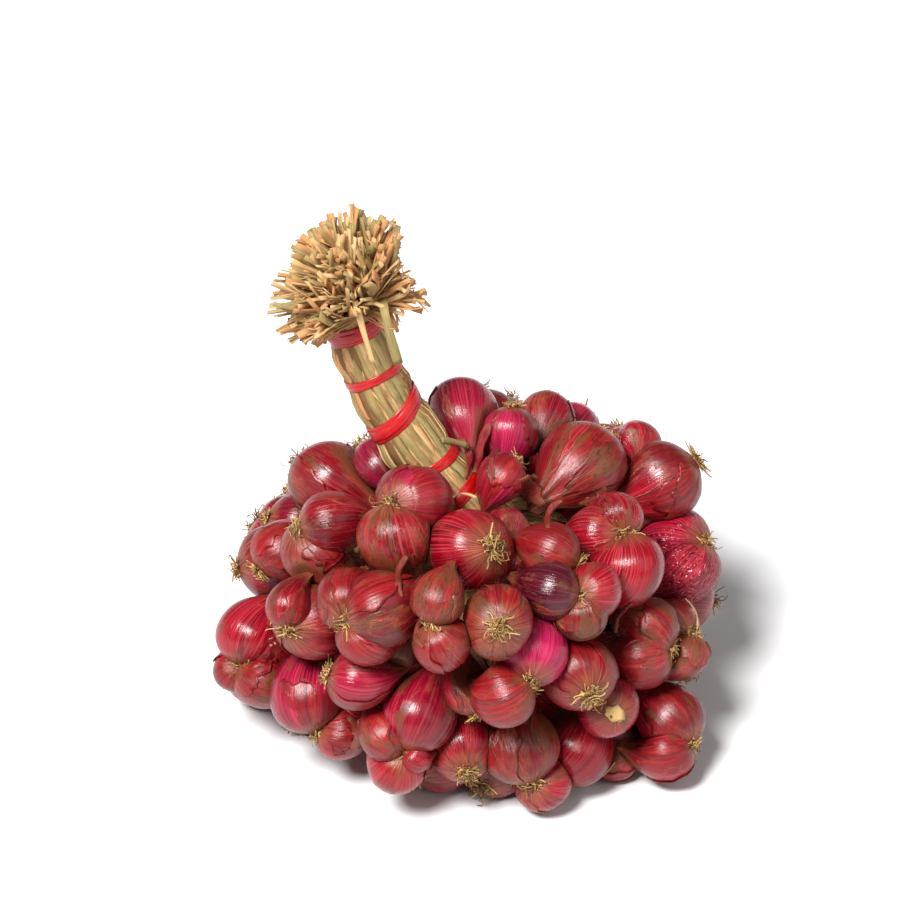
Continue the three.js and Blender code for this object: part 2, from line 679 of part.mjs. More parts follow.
function bladeShape(index) {
  const heading = brushHeading();
  const side = vector(0, 0, 0).crossVectors(heading, UP).normalize();
  const rise = vector(0, 0, 0).crossVectors(side, heading);
  const turn = index * GOLDEN_TURN + 0.5 * scatter(index, 2);
  const outwards = Math.sqrt((index + 0.5) / BLADE_COUNT);
  const lean = BLADE_LEAN * outwards * mix(0.85, 1.1, scatter(index, 3));
  const radial = side.clone().multiplyScalar(Math.cos(turn)).addScaledVector(rise, Math.sin(turn));
  const way = heading.clone().multiplyScalar(Math.cos(lean)).addScaledVector(radial, Math.sin(lean));
  const foot = picturePoint(BRUSH_HEART.across, BRUSH_HEART.down, BRUSH_HEART.near);
  foot.addScaledVector(radial, outwards * BRUSH_CORE_RADIUS * 0.5);
  const sunk = BRUSH_CORE_RADIUS * mix(0.7, 0.3, outwards);
  const reach = BLADE_REACH * mix(0.72, 1.0, scatter(index, 4));
  const broad = vector(0, 0, 0).crossVectors(way, heading).normalize();
  const thin = vector(0, 0, 0).crossVectors(way, broad);
  const twist = mix(-BLADE_TWIST, BLADE_TWIST, scatter(index, 5));
  const flat = broad.clone().multiplyScalar(Math.cos(twist)).addScaledVector(thin, Math.sin(twist));
  const face = vector(0, 0, 0).crossVectors(way, flat);
  const width = BLADE_WIDTH * mix(0.75, 1.25, scatter(index, 6));
  return shapeFrom(new THREE.BoxGeometry(1, 1, 1), (corner) => {
    const out = corner.y + 0.5;
    return foot
      .clone()
      .addScaledVector(way, mix(sunk, reach, out))
      .addScaledVector(flat, corner.x * width * mix(0.8, 1, out))
      .addScaledVector(face, corner.z * BLADE_THICKNESS);
  });
}

// A tie: a flat band wound round its pinched place on the stem
function tieShape(tie) {
  const inner = tiedRadius(tie) + CONTACT_GAP;
  const outer = inner + TIE_THICKNESS;
  const half = (tie.width / 2) * alongPerMm;
  const section = [
    new THREE.Vector2(inner, -half),
    new THREE.Vector2(outer, -half * TIE_EDGE),
    new THREE.Vector2(outer, half * TIE_EDGE),
    new THREE.Vector2(inner, half),
    new THREE.Vector2(inner, -half),
  ];
  const lathe = new THREE.LatheGeometry(section, STEM_SIDES);
  return shapeFrom(lathe, (corner) => {
    const angle = Math.atan2(corner.z, corner.x);
    return stemPoint(tie.along + corner.y, angle, Math.hypot(corner.x, corner.z), tie.slant);
  });
}

// The straw-coloured roots of a plant: a low spiky crown sunk in its root plate
function rootCrownShape(cluster) {
  const way = cluster.bulbs.reduce((sum, bulb) => sum.sub(bulb.way), vector(0, 0, 0)).normalize();
  const size = CROWN_SIZE * Math.max(...cluster.bulbs.map((bulb) => bulb.diameter));
  const first = vector(0, 0, 0).crossVectors(way, SKEW).normalize();
  const second = vector(0, 0, 0).crossVectors(way, first);
  const outline = CROWN_PROFILE.map(([radius, at]) => new THREE.Vector2(radius, at));
  const star = new THREE.LatheGeometry(outline, CROWN_POINTS);
  return shapeFrom(star, (corner) => {
    const angle = Math.atan2(corner.z, corner.x);
    const isSpike = Math.round((angle / (2 * Math.PI)) * CROWN_POINTS) % 2 === 0;
    const onRim = Math.hypot(corner.x, corner.z) > 0.5;
    const { spread, lift } = isSpike ? CROWN_SPIKE : CROWN_DIP;
    return cluster.root
      .clone()
      .addScaledVector(first, corner.x * size * spread)
      .addScaledVector(second, corner.z * size * spread)
      .addScaledVector(way, (corner.y + (onRim ? lift : 0)) * size);
  });
}

// Sets a bulb beside another so that the two press together and hold as one body
function setAgainst(cluster, host) {
  const belly = bellyOf(cluster, cluster.bulbs[0]);
  const hostBelly = bellyOf(host, host.bulbs[0]);
  const gap = belly.clone().sub(hostBelly);
  const touching = (GROUP_TOUCH * (cluster.bulbs[0].diameter + host.bulbs[0].diameter)) / 2;
  cluster.root.add(gap.clone().setLength(touching).sub(gap));
}

// Each visible plant is a piece of its own; hidden bulbs are gathered in groups round a middle bulb
function makeNodes(allClusters) {
  const groups = [];
  const loose = new Set(allClusters.filter((cluster) => !cluster.seen));
  const distance = (one, other) => bellyOf(one, one.bulbs[0]).distanceTo(bellyOf(other, other.bulbs[0]));
  const neighbours = (hub) =>
    [...loose]
      .filter((other) => other !== hub && distance(hub, other) < HIDDEN_BULB_DIAMETER * GROUP_RANGE)
      .sort((one, other) => distance(hub, one) - distance(hub, other))
      .slice(0, HIDDEN_GROUP_SIZE - 1);
  while (loose.size > 0 && groups.length < HIDDEN_GROUP_LIMIT) {
    const hub = [...loose].reduce((one, other) => {
      return neighbours(other).length > neighbours(one).length ? other : one;
    });
    const around = neighbours(hub);
    around.forEach((cluster) => setAgainst(cluster, hub));
    [hub, ...around].forEach((cluster) => loose.delete(cluster));
    groups.push([hub, ...around]);
  }
  for (const cluster of loose) {
    const hosts = groups.flatMap((group) => group.map((host) => ({ host, group })));
    const { host, group } = hosts.reduce((one, other) => {
      return distance(cluster, other.host) < distance(cluster, one.host) ? other : one;
    });
    setAgainst(cluster, host);
    group.push(cluster);
  }
  return [...allClusters.filter((cluster) => cluster.seen).map((cluster) => [cluster]), ...groups];
}

function makeClusters() {
  const clusters = VISIBLE_CLUSTERS.map(visibleCluster);
  fillHiddenSide(clusters);
  easeApart(clusters);
  return clusters;
}

const clusters = makeClusters();
const nodes = makeNodes(clusters);
const shapes = [];
nodes.forEach((plants, owner) => {
  for (const cluster of plants) {
    cluster.bulbs.forEach((bulb, index) => {
      const pieces = [bulbShape(cluster, bulb)];
      if (cluster === plants[0] && index === 0) {
        pieces.push(rootCrownShape(cluster));
      }
      const corners = pieces.flatMap((piece) => piece.corners);
      shapes.push({ pieces, corners, owner, diameter: bulb.diameter, belly: bellyOf(cluster, bulb) });
    });
  }
});
const stem = stemShape();
const core = coreShape();
const sleeves = SLEEVES.map(([from, to]) => stemSleeve(from, to));
pressFlat(shapes, [...sleeves, { corners: core.corners }]);

const plantSolids = nodes.map((plants, owner) => {
  const own = shapes.filter((shape) => shape.owner === owner).flatMap((shape) => shape.pieces);
  // Bulbs that bear on the floor are cut flat there
  const grown = Manifold.union(own.map(solidFrom)).trimByPlane([0, 0, 1], 0);
  return outerShell(grown.simplify(SMALLEST_STEP));
});

function leafBundleSolid() {
  const bulbs = Manifold.union(plantSolids);
  const ties = Manifold.union(TIES.map((tie) => solidFrom(tieShape(tie))));
  const keepOff = Manifold.union([bulbs, ties]);
  const isClear = (solid) => keepOff.intersect(solid).volume() < 1e-6;
  let bundle = Manifold.union([solidFrom(stem), solidFrom(core), solidFrom(brushCoreShape())]);
  for (let index = 0; index < BLADE_COUNT; index += 1) {
    const blade = solidFrom(bladeShape(index));
    if (isClear(blade)) {
      bundle = bundle.add(blade);
    }
  }
  return outerShell(bundle.simplify(SMALLEST_STEP));
}

const bunch = new THREE.Group();
plantSolids.forEach((solid, index) => {
  const colour = SKIN_COLOURS[Math.floor(scatter(index, 7) * SKIN_COLOURS.length)];
  const skin = new THREE.MeshStandardMaterial({ color: colour, roughness: 0.42, metalness: 0 });
  bunch.add(meshFrom(solid, `shallot_${String(index + 1).padStart(2, "0")}`, skin));
});
const straw = new THREE.MeshStandardMaterial({ color: STRAW_COLOUR, roughness: 0.85, metalness: 0 });
bunch.add(meshFrom(leafBundleSolid(), "leaf_bundle", straw));
TIES.forEach((tie, index) => {
  const ribbon = new THREE.MeshStandardMaterial({ color: TIE_COLOUR, roughness: 0.35, metalness: 0 });
  bunch.add(meshFrom(solidFrom(tieShape(tie)), `tie_${index + 1}`, ribbon));
});

// The origin is under the middle of the whole bunch, on the surface that it rests on
const extent = new THREE.Box3().setFromObject(bunch);
const middle = extent.getCenter(vector(0, 0, 0));
bunch.position.set(-middle.x, -middle.y, 0);
bunch.updateMatrixWorld(true);

export default bunch;
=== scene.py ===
"""Dresses a tied bunch of pink shallots: bulb skins, rootlets, leaf stem, cut brush and ribbon ties."""

import json
import math

import bpy
import numpy as np
from bpy.props import FloatProperty, FloatVectorProperty, IntProperty, PointerProperty
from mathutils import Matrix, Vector
from mathutils.bvhtree import BVHTree

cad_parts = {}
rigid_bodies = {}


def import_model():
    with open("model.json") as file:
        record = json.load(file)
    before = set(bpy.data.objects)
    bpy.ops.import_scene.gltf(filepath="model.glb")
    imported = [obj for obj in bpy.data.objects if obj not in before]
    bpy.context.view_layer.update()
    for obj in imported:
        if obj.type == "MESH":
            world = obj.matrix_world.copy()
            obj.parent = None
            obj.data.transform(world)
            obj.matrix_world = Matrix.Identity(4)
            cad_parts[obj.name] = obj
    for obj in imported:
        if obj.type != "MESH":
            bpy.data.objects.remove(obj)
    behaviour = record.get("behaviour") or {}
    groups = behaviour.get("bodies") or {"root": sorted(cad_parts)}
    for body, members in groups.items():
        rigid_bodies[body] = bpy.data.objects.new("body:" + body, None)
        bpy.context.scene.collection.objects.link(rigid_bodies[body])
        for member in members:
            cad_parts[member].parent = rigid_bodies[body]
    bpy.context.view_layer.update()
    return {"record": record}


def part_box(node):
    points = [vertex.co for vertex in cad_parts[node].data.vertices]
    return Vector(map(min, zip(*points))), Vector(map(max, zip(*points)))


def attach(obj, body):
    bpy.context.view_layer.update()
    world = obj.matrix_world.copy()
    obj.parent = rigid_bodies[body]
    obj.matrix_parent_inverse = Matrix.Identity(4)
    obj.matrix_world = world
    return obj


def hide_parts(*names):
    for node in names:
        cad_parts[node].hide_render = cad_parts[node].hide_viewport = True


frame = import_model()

bl_info = {
    "name": "Tied Shallot Bunch",
    "version": (1, 0, 0),
    "blender": (4, 5, 0),
    "location": "View3D > Sidebar > Bunch",
    "description": "Bulb skins, rootlets, leaf stem, cut brush and ties of a bunch of shallots",
    "category": "Object",
}

MM = 0.001


def vec(x, y, z):
    return np.array((x, y, z), float)


def unit(v):
    return v / np.maximum(np.linalg.norm(v, axis=-1, keepdims=True), 1e-9)


def mix(a, b, t):
    return a + (b - a) * t


def scatter(index, purpose):
    """A repeatable draw between 0 and 1 for the given piece and purpose."""
    wave = math.sin(index * 127.1 + purpose * 311.7) * 43758.5453
    return wave - math.floor(wave)


def draws(index, purpose, count):
    return [scatter(index, purpose + k) for k in range(count)]


# Layout of the heap, in millimetres: the same named values and rules as the solids

HEAP_RADII = vec(126, 117, 92)
HEAP_CENTRE_Z = 73.0
CONTACT_GAP = 0.12
TOUCH_RANGE = 0.8
TOUCH_MARGIN = 22.0
PRESS_ROUNDS = 12
SHOULDER = 0.45
FLOOR_PRESS = 0.88
HIDDEN_BULB_LIMIT = 62
HIDDEN_BULB_DIAMETER = 33.0
HIDDEN_GROUP_LIMIT = 15
HIDDEN_GROUP_SIZE = 5
HIDDEN_PLACES = 900
HIDDEN_SWAY = 0.45
HIDDEN_SWAY_UP = 0.3
HIDDEN_SIZE_SPREAD = 0.14
FLOOR_LEVELLING = 0.25
BACK_LIMIT = 0.2
PULL_IN = 0.03
PULL_IN_STEPS = 9
NARROWEST_HOLE = 22.0
GROUP_TOUCH = 0.76
GROUP_RANGE = 1.3
MM_PER_PIXEL = 0.5
PICTURE_ACROSS = 466.0
PICTURE_DOWN = 588.0
VIEW_ELEVATION = math.radians(35)
RIGHT = vec(1, 0, 0)
UP = vec(0, math.sin(VIEW_ELEVATION), math.cos(VIEW_ELEVATION))
NEAR = vec(0, -math.cos(VIEW_ELEVATION), math.sin(VIEW_ELEVATION))
GOLDEN_TURN = math.pi * (3 - math.sqrt(5))
# About one whole turn, which a draw takes a part of
ANY_TURN = 6.28
SKEW = vec(0.36, 0.48, 0.8)
HEAP_OUTLINE = [
    (211, 640), (214, 606), (264, 503), (305, 449), (440, 386), (462, 371),
    (560, 392), (668, 426), (699, 462), (719, 556), (719, 606), (700, 752),
    (672, 778), (552, 804), (392, 783), (298, 736), (216, 694),
]
STEM_RADIUS_FOOT = 17.0
STEM_RADIUS_TOP = 13.4
STEM_BULGE = 1.3
STEM_SIDES = 18
TIE_THICKNESS = 1.0
TIE_EDGE = 0.8
# Stretches of the stem that the bulbs keep off, the sides of their rings and their margin
SLEEVES = ((0, 0.24), (0.2, 0.44), (0.4, 0.64))
SLEEVE_SIDES = 24
SLEEVE_MARGIN = 0.7
CORE_CENTRE = vec(0, 4, 76)
CORE_RADII = vec(66, 57, 38)
TIES = [(0.176, 5.0, 0.06), (0.315, 4.5, -0.08), (0.531, 7.0, 0.3), (0.7, 3.6, 0.02), (0.883, 6.5, 0.04)]
PINCH_REACH = 0.075
BRUSH_HEADING = (-0.42, 0.62, 0.66)
FULLNESS = 1.06
ROOT_REACH = 0.54
KNEE_REACH = 0.2
NECK_REACH = 1.0
NECK_TURN = 0.6
BULB_BALLS = [(0.95, 0.49), (1.7, 0.33)]

# Plants that show: root plate across and down, facing, and each bulb's across, down, size and lift
PLANTS = [
    ((303, 461), -1, [(329, 481, 72, 0)]),
    ((299, 528), 1, [(313, 553, 63, 2), (336, 521, 58, -2)]),
    ((261, 570), 1, [(282, 547, 54, -6)]),
    ((240, 668), 1, [(246, 612, 58, -6), (263, 640, 69, 3), (231, 676, 44, -3), (263, 692, 50, -2)]),
    ((290, 627), 1, [(288, 597, 42, -4), (313, 620, 68, 3)]),
    ((347, 615), 1, [(345, 594, 54, 2), (390, 603, 68, 3), (366, 634, 52, -6)]),
    ((318, 730), 1, [(303, 692, 68, 4), (343, 736, 48, -2)]),
    ((334, 670), 0, [(360, 678, 54, 0)]),
    ((402, 742), 1, [(418, 703, 68, 5), (374, 725, 46, -4), (393, 760, 58, -2), (430, 768, 26, -4)]),
    ((470, 767), 1, [(463, 743, 61, 0)]),
    ((430, 620), 1, [(441, 643, 51, 2), (438, 592, 47, -3)]),
    ((499, 623), 1, [(497, 619, 61, 2)]),
    ((492, 545), 1, [(466, 549, 71, 4)]),
    ((392, 502), 1, [(414, 498, 66, 5), (391, 541, 65, 3)]),
    ((517, 533), 1, [(507, 521, 49, 0), (506, 575, 36, -8)]),
    ((372, 446), -1, [(376, 463, 46, -4)]),
    ((457, 383), -1, [(461, 401, 64, 0), (465, 432, 46, 2)]),
    ((512, 404), -1, [(509, 432, 46, 0)]),
    ((552, 401), -1, [(547, 418, 50, 0)]),
    ((584, 415), -1, [(571, 432, 56, -5)]),
    ((601, 440), -1, [(583, 464, 76, 5)]),
    ((614, 447), 1, [(625, 454, 54, 0), (647, 441, 48, -6)]),
    ((690, 466), 0, [(664, 483, 68, 2)]),
    ((622, 532), 1, [(599, 535, 56, -2), (619, 513, 44, -6), (634, 571, 66, 3)]),
    ((706, 541), 1, [(678, 541, 62, 0), (691, 574, 60, 0)]),
    ((576, 563), 1, [(547, 551, 53, 0)]),
    ((578, 590), 1, [(544, 587, 51, -3), (598, 588, 50, 0), (583, 613, 50, -4)]),
    ((528, 675), 1, [(530, 645, 65, 8), (502, 695, 56, 2)]),
    ((533, 777), 1, [(520, 735, 66, 2), (548, 782, 52, 0)]),
    ((553, 774), 0, [(578, 757, 64, 3)]),
    ((588, 690), 1, [(577, 670, 64, 3)]),
    ((612, 708), 1, [(607, 705, 56, 3)]),
    ((635, 747), 1, [(620, 738, 52, 0), (613, 764, 38, -4)]),
    ((671, 650), 1, [(643, 625, 56, 0), (640, 662, 56, 2)]),
    ((692, 625), 1, [(673, 622, 50, -2), (685, 664, 46, -5)]),
    ((692, 742), 1, [(671, 717, 61, 0), (665, 757, 50, -2)]),
    ((477, 712), 1, [(467, 684, 46, -2)]),
    ((515, 461), -1, [(500, 476, 44, -3)]),
    ((395, 660), -1, [(396, 652, 50, -14)]),
]


def picture_vector(across, up, near):
    return RIGHT * across + UP * up + NEAR * near


def picture_point(across, down, near):
    place = picture_vector((across - PICTURE_ACROSS) * MM_PER_PIXEL, (PICTURE_DOWN - down) * MM_PER_PIXEL, near)
    return place + vec(0, 0, HEAP_CENTRE_Z)


STEM = [picture_point(486, 530, 30), picture_point(381, 425, 54), picture_point(348, 300, 78)]


def bezier(ends, t):
    t = np.asarray(t, float)[..., None]
    return (1 - t) ** 2 * ends[0] + 2 * t * (1 - t) * ends[1] + t**2 * ends[2]


def bezier_way(ends, t):
    t = np.asarray(t, float)[..., None]
    return unit((1 - t) * (ends[1] - ends[0]) + t * (ends[2] - ends[1]))


def heap_depth(across, down, radius):
    """Depth at which a bulb seen at these pixels lies in the heap's outer layer."""
    x = (across - PICTURE_ACROSS) * MM_PER_PIXEL
    y = (PICTURE_DOWN - down) * MM_PER_PIXEL
    a, b, c = HEAP_RADII - radius
    sine, cosine = math.sin(VIEW_ELEVATION), math.cos(VIEW_ELEVATION)
    square = (cosine / b) ** 2 + (sine / c) ** 2
    linear = 2 * y * sine * cosine * (1 / c**2 - 1 / b**2)
    rest = (x / a) ** 2 + y**2 * ((sine / b) ** 2 + (cosine / c) ** 2) - 1
    on_heap = (math.sqrt(max(0, linear**2 - 4 * square * rest)) - linear) / (2 * square)
    return max(on_heap, (radius * FLOOR_PRESS - HEAP_CENTRE_Z - y * cosine) / sine)


class Plant:
    """Bulbs on one root plate: the root point, and each bulb's diameter, direction and reach."""

    def __init__(self, root, bulbs, seen):
        self.root = root
        self.bulbs = bulbs
        self.seen = seen

    def belly(self, index=0):
        _, way, reach = self.bulbs[index]
        return self.root + way * reach


def visible_plant(root_at, facing, bulbs):
    leaning = []
    for across, down, size, lift in bulbs:
        diameter = size * MM_PER_PIXEL * FULLNESS
        reach = diameter * ROOT_REACH
        sideways = math.hypot(root_at[0] - across, root_at[1] - down) * MM_PER_PIXEL
        towards = facing * math.sqrt(max(0, reach**2 - sideways**2))
        leaning.append((across, down, diameter, heap_depth(across, down, diameter / 2) + lift, towards))
    root_depth = sum(depth + towards for *_, depth, towards in leaning) / len(leaning)
    root = picture_point(*root_at, root_depth)
    made = []
    drift = vec(0, 0, 0)
    for across, down, diameter, depth, towards in leaning:
        way = unit(picture_point(across, down, root_depth - towards) - root)
        made.append((diameter, way, diameter * ROOT_REACH))
        drift += picture_point(across, down, depth) - root - way * diameter * ROOT_REACH
    return Plant(root + drift / len(bulbs), made, True)


def outline_room(places):
    """How far each place lies inside the picture outline, and the way back in."""
    start = np.array(HEAP_OUTLINE, float)
    end = np.roll(start, -1, axis=0)
    length = np.hypot(*(end - start).T)
    normal_across = (start[:, 1] - end[:, 1]) / length
    normal_up = (start[:, 0] - end[:, 0]) / length
    across = (places @ RIGHT)[:, None] - (start[:, 0] - PICTURE_ACROSS) * MM_PER_PIXEL
    up = (places @ UP - HEAP_CENTRE_Z * UP[2])[:, None] - (PICTURE_DOWN - start[:, 1]) * MM_PER_PIXEL
    inside = across * normal_across + up * normal_up
    nearest = inside.argmin(axis=1)
    ways = normal_across[nearest, None] * RIGHT + normal_up[nearest, None] * UP
    return inside[np.arange(len(places)), nearest], ways


def hidden_plant(place, outward, index):
    root_way = outward.copy()
    if place[2] < HIDDEN_BULB_DIAMETER:
        root_way[2] *= FLOOR_LEVELLING
    root_way[0] += mix(-HIDDEN_SWAY, HIDDEN_SWAY, scatter(index, 1))
    root_way[1] += mix(-HIDDEN_SWAY, HIDDEN_SWAY, scatter(index, 2))
    root_way[2] += mix(-HIDDEN_SWAY_UP, HIDDEN_SWAY_UP, scatter(index, 3))
    root_way = unit(root_way)
    diameter = HIDDEN_BULB_DIAMETER * mix(1 - HIDDEN_SIZE_SPREAD, 1 + HIDDEN_SIZE_SPREAD, scatter(index, 4))
    reach = diameter * ROOT_REACH
    return Plant(place + root_way * reach, [(diameter, -root_way, reach)], False)


def fill_hidden_side(plants):
    """The back and underside are filled one bulb at a time, each in the widest hole left."""
    radius = HIDDEN_BULB_DIAMETER / 2
    index = np.arange(HIDDEN_PLACES)
    height = 1 - 2 * (index + 0.5) / HIDDEN_PLACES
    around = np.sqrt(1 - height**2)
    turn = index * GOLDEN_TURN
    outward = np.stack([around * np.cos(turn), around * np.sin(turn), height], axis=1)
    places = outward * (HEAP_RADII - radius) + vec(0, 0, HEAP_CENTRE_Z)
    places[:, 2] = np.maximum(places[:, 2], radius * FLOOR_PRESS)
    back = outward @ NEAR < BACK_LIMIT
    outward, places = outward[back], places[back]
    for _ in range(PULL_IN_STEPS):
        short = outline_room(places)[0] < radius * 0.9
        places[short] = mix(places[short], CORE_CENTRE, PULL_IN)
    bellies = [plant.belly(i) for plant in plants for i in range(len(plant.bulbs))]
    room = np.min([np.linalg.norm(places - belly, axis=1) for belly in bellies], axis=0)
    for number in range(1, HIDDEN_BULB_LIMIT + 1):
        best = int(room.argmax())
        if room[best] < NARROWEST_HOLE:
            return
        plants.append(hidden_plant(places[best], outward[best], number))
        room = np.minimum(room, np.linalg.norm(places - places[best], axis=1))


def nearest_on_line(places, start, end):
    line = end - start
    t = np.clip((places - start) @ line / (line @ line), 0, 1)
    return start + t[..., None] * line


def ease_apart(plants):
    """Plants are eased apart as wholes until their bulbs only press lightly together."""
    rounds, step, hold_in_picture, hold, hidden_yield, near_floor = 220, 0.3, 0.75, 0.995, 0.8, 3.5
    balls = [(n, way * reach * part, diameter * size) for n, plant in enumerate(plants)
             for diameter, way, reach in plant.bulbs for part, size in BULB_BALLS]
    owner = np.array([ball[0] for ball in balls])
    offset = np.array([ball[1] for ball in balls])
    radius = np.array([ball[2] for ball in balls])
    root = np.array([plant.root for plant in plants])
    home = root.copy()
    seen = np.array([plant.seen for plant in plants])
    seen_ball = seen[owner]
    grounded = root[owner, 2] + offset[:, 2] < radius * FLOOR_PRESS + near_floor
    share = np.where(seen_ball[:, None] == seen_ball[None], 0.5,
                     np.where(seen_ball[:, None], 1 - hidden_yield, hidden_yield))
    apart = owner[:, None] != owner[None]
    for _ in range(rounds):
        centre = root[owner] + offset
        between = centre[None] - centre[:, None]
        distance = np.linalg.norm(between, axis=2)
        overlap = np.where(apart, radius[:, None] + radius[None] - distance, 0)
        pull = np.where(overlap > 0, share * overlap / np.maximum(distance, 1e-9), 0)
        push = -(pull[..., None] * between).sum(axis=1)
        sunk = radius * FLOOR_PRESS - centre[:, 2]
        rise = np.where(grounded, sunk, np.maximum(0, sunk))
        push += np.where(seen_ball[:, None], NEAR * (rise / NEAR[2])[:, None], vec(0, 0, 1) * rise[:, None])
        away = centre - nearest_on_line(centre, STEM[0], bezier(STEM, 0.5))
        in_stem = radius + STEM_RADIUS_FOOT - np.linalg.norm(away, axis=1)
        push += np.where(in_stem > 0, in_stem, 0)[:, None] * unit(away)
        room, inwards = outline_room(centre)
        push += np.where(seen_ball, 0, np.maximum(0, radius - room))[:, None] * inwards
        moved = np.zeros_like(root)
        np.add.at(moved, owner, push)
        strayed = root + moved * step - home
        in_depth = (strayed @ NEAR)[:, None] * NEAR
        root = home + in_depth * hold + (strayed - in_depth) * np.where(seen, hold_in_picture, hold)[:, None]
    for plant, place in zip(plants, root):
        plant.root = place


def set_against(plant, host):
    gap = plant.belly() - host.belly()
    plant.root = plant.root + unit(gap) * GROUP_TOUCH * (plant.bulbs[0][0] + host.bulbs[0][0]) / 2 - gap


def make_nodes(plants):
    """Each visible plant is a piece of its own; hidden bulbs are gathered in groups."""

    def distance(one, other):
        return float(np.linalg.norm(one.belly() - other.belly()))

    def neighbours(hub):
        close = [other for other in loose
                 if other is not hub and distance(hub, other) < HIDDEN_BULB_DIAMETER * GROUP_RANGE]
        return sorted(close, key=lambda other: distance(hub, other))[: HIDDEN_GROUP_SIZE - 1]

    groups = []
    loose = [plant for plant in plants if not plant.seen]
    while loose and len(groups) < HIDDEN_GROUP_LIMIT:
        hub = max(loose, key=lambda plant: len(neighbours(plant)))
        around = neighbours(hub)
        for plant in around:
            set_against(plant, hub)
        groups.append([hub, *around])
        loose = [plant for plant in loose if plant not in groups[-1]]
    for plant in loose:
        host, group = min(((host, group) for group in groups for host in group),
                          key=lambda pair: distance(plant, pair[0]))
        set_against(plant, host)
        group.append(plant)
    return [[plant] for plant in plants if plant.seen] + groups


def stem_ring(along):
    """The stem's radius between its ties, and the slant of its rings."""
    along = np.asarray(along, float)
    nearest = np.ones_like(along)
    slant = np.zeros_like(along)
    weight = np.zeros_like(along)
    for place, _, tie_slant in TIES:
        away = np.abs(along - place) / PINCH_REACH
        nearest = np.minimum(nearest, away)
        pull = 1 / (0.02 + away**4)
        slant += tie_slant * pull
        weight += pull
    even = mix(STEM_RADIUS_FOOT, STEM_RADIUS_TOP, along)
    return even + STEM_BULGE * nearest**2, slant / weight


def stem_point(along, angle, distance, slant):
    along = np.asarray(along, float)
    way = bezier_way(STEM, along)
    flank = unit(np.cross(way, NEAR))
    front = np.cross(flank, way)
    cos = (np.cos(angle) * distance)[..., None]
    sin = (np.sin(angle) * distance)[..., None]
    return bezier(STEM, along) + flank * cos + front * sin + way * cos * np.asarray(slant)[..., None]


STEM_LENGTH = float(np.linalg.norm(np.diff(bezier(STEM, np.linspace(0, 1, 400)), axis=0), axis=1).sum())


def frame_shift():
    """Shift from the layout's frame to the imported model's, found on the middle tie."""
    along, width, slant = TIES[2]
    angle = np.linspace(0, 2 * math.pi, STEM_SIDES, endpoint=False) + math.pi / 2
    outer = mix(STEM_RADIUS_FOOT, STEM_RADIUS_TOP, along) + STEM_BULGE
    half = width / 2 / STEM_LENGTH
    rings = [stem_point(np.full(STEM_SIDES, along + side * half * edge), angle,
                        np.full(STEM_SIDES, radius), np.full(STEM_SIDES, slant))
             for side in (-1, 1) for radius, edge in ((outer - TIE_THICKNESS, 1.0), (outer, TIE_EDGE))]
    lowest = np.concatenate(rings).min(axis=0)
    shift = np.array(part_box("tie_3")[0]) / MM - lowest
    if abs(shift[2]) > 0.5 or np.abs(shift).max() > 12:
        raise ValueError(f"the layout doesn't meet the packed ties: {shift}")
    return vec(shift[0], shift[1], 0)


def lay_out():
    plants = [visible_plant(*entry) for entry in PLANTS]
    fill_hidden_side(plants)
    ease_apart(plants)
    return make_nodes(plants)


NODES = lay_out()
SHIFT = frame_shift()


# Meshes: solids are gathered as arrays and made into one object per piece


def master(make):
    """Models one small solid with Blender's own tools and returns its corners and faces, for copies."""
    bpy.ops.object.select_all(action="DESELECT")
    make()
    obj = bpy.context.object
    corners = np.array([v.co[:] for v in obj.data.vertices])
    faces = [list(face.vertices) for face in obj.data.polygons]
    mesh = obj.data
    bpy.data.objects.remove(obj)
    bpy.data.meshes.remove(mesh)
    return corners, faces


def loft_faces(rings, sides):
    """Faces of a closed tube of so many rings and sides, with a cap at each end."""
    faces = [(a * sides + b, a * sides + (b + 1) % sides, (a + 1) * sides + (b + 1) % sides, (a + 1) * sides + b)
             for a in range(rings - 1) for b in range(sides)]
    return faces + [tuple(range(sides))[::-1], tuple(range((rings - 1) * sides, rings * sides))]


class Gathered:
    """Corners, faces and surface attributes of one piece while it is put together."""

    def __init__(self):
        self.corners, self.faces, self.slots = [], [], []
        self.grain, self.tint = [], []
        self.count = 0

    def add(self, corners, faces, grain, tint, slot=0):
        """Adds a solid: grain is the place on its surface, tint a few numbers that vary its colour."""
        self.corners.append(corners)
        self.grain.append(grain)
        self.tint.append(np.broadcast_to(np.asarray(tint, float), (len(corners), 3)))
        self.faces.extend([tuple(i + self.count for i in face) for face in faces])
        self.slots.extend([slot] * len(faces))
        self.count += len(corners)

    def make(self, name, finishes):
        mesh = bpy.data.meshes.new(name)
        places = (np.concatenate(self.corners) + SHIFT) * MM
        mesh.from_pydata(places.tolist(), [], self.faces)
        for label, values in (("grain", self.grain), ("tint", self.tint)):
            layer = mesh.attributes.new(label, "FLOAT_VECTOR", "POINT")
            layer.data.foreach_set("vector", np.concatenate(values).astype(np.float32).ravel())
        for finish in finishes:
            mesh.materials.append(finish)
        mesh.polygons.foreach_set("material_index", self.slots)
        mesh.polygons.foreach_set("use_smooth", [True] * len(self.faces))
        mesh.update()
        obj = bpy.data.objects.new(name, mesh)
        bpy.context.collection.objects.link(obj)
        return obj


def settle(obj, slot, *nodes):
    """The piece rides on the bunch and stands for its solids."""
    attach(obj, "root")
    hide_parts(*nodes)


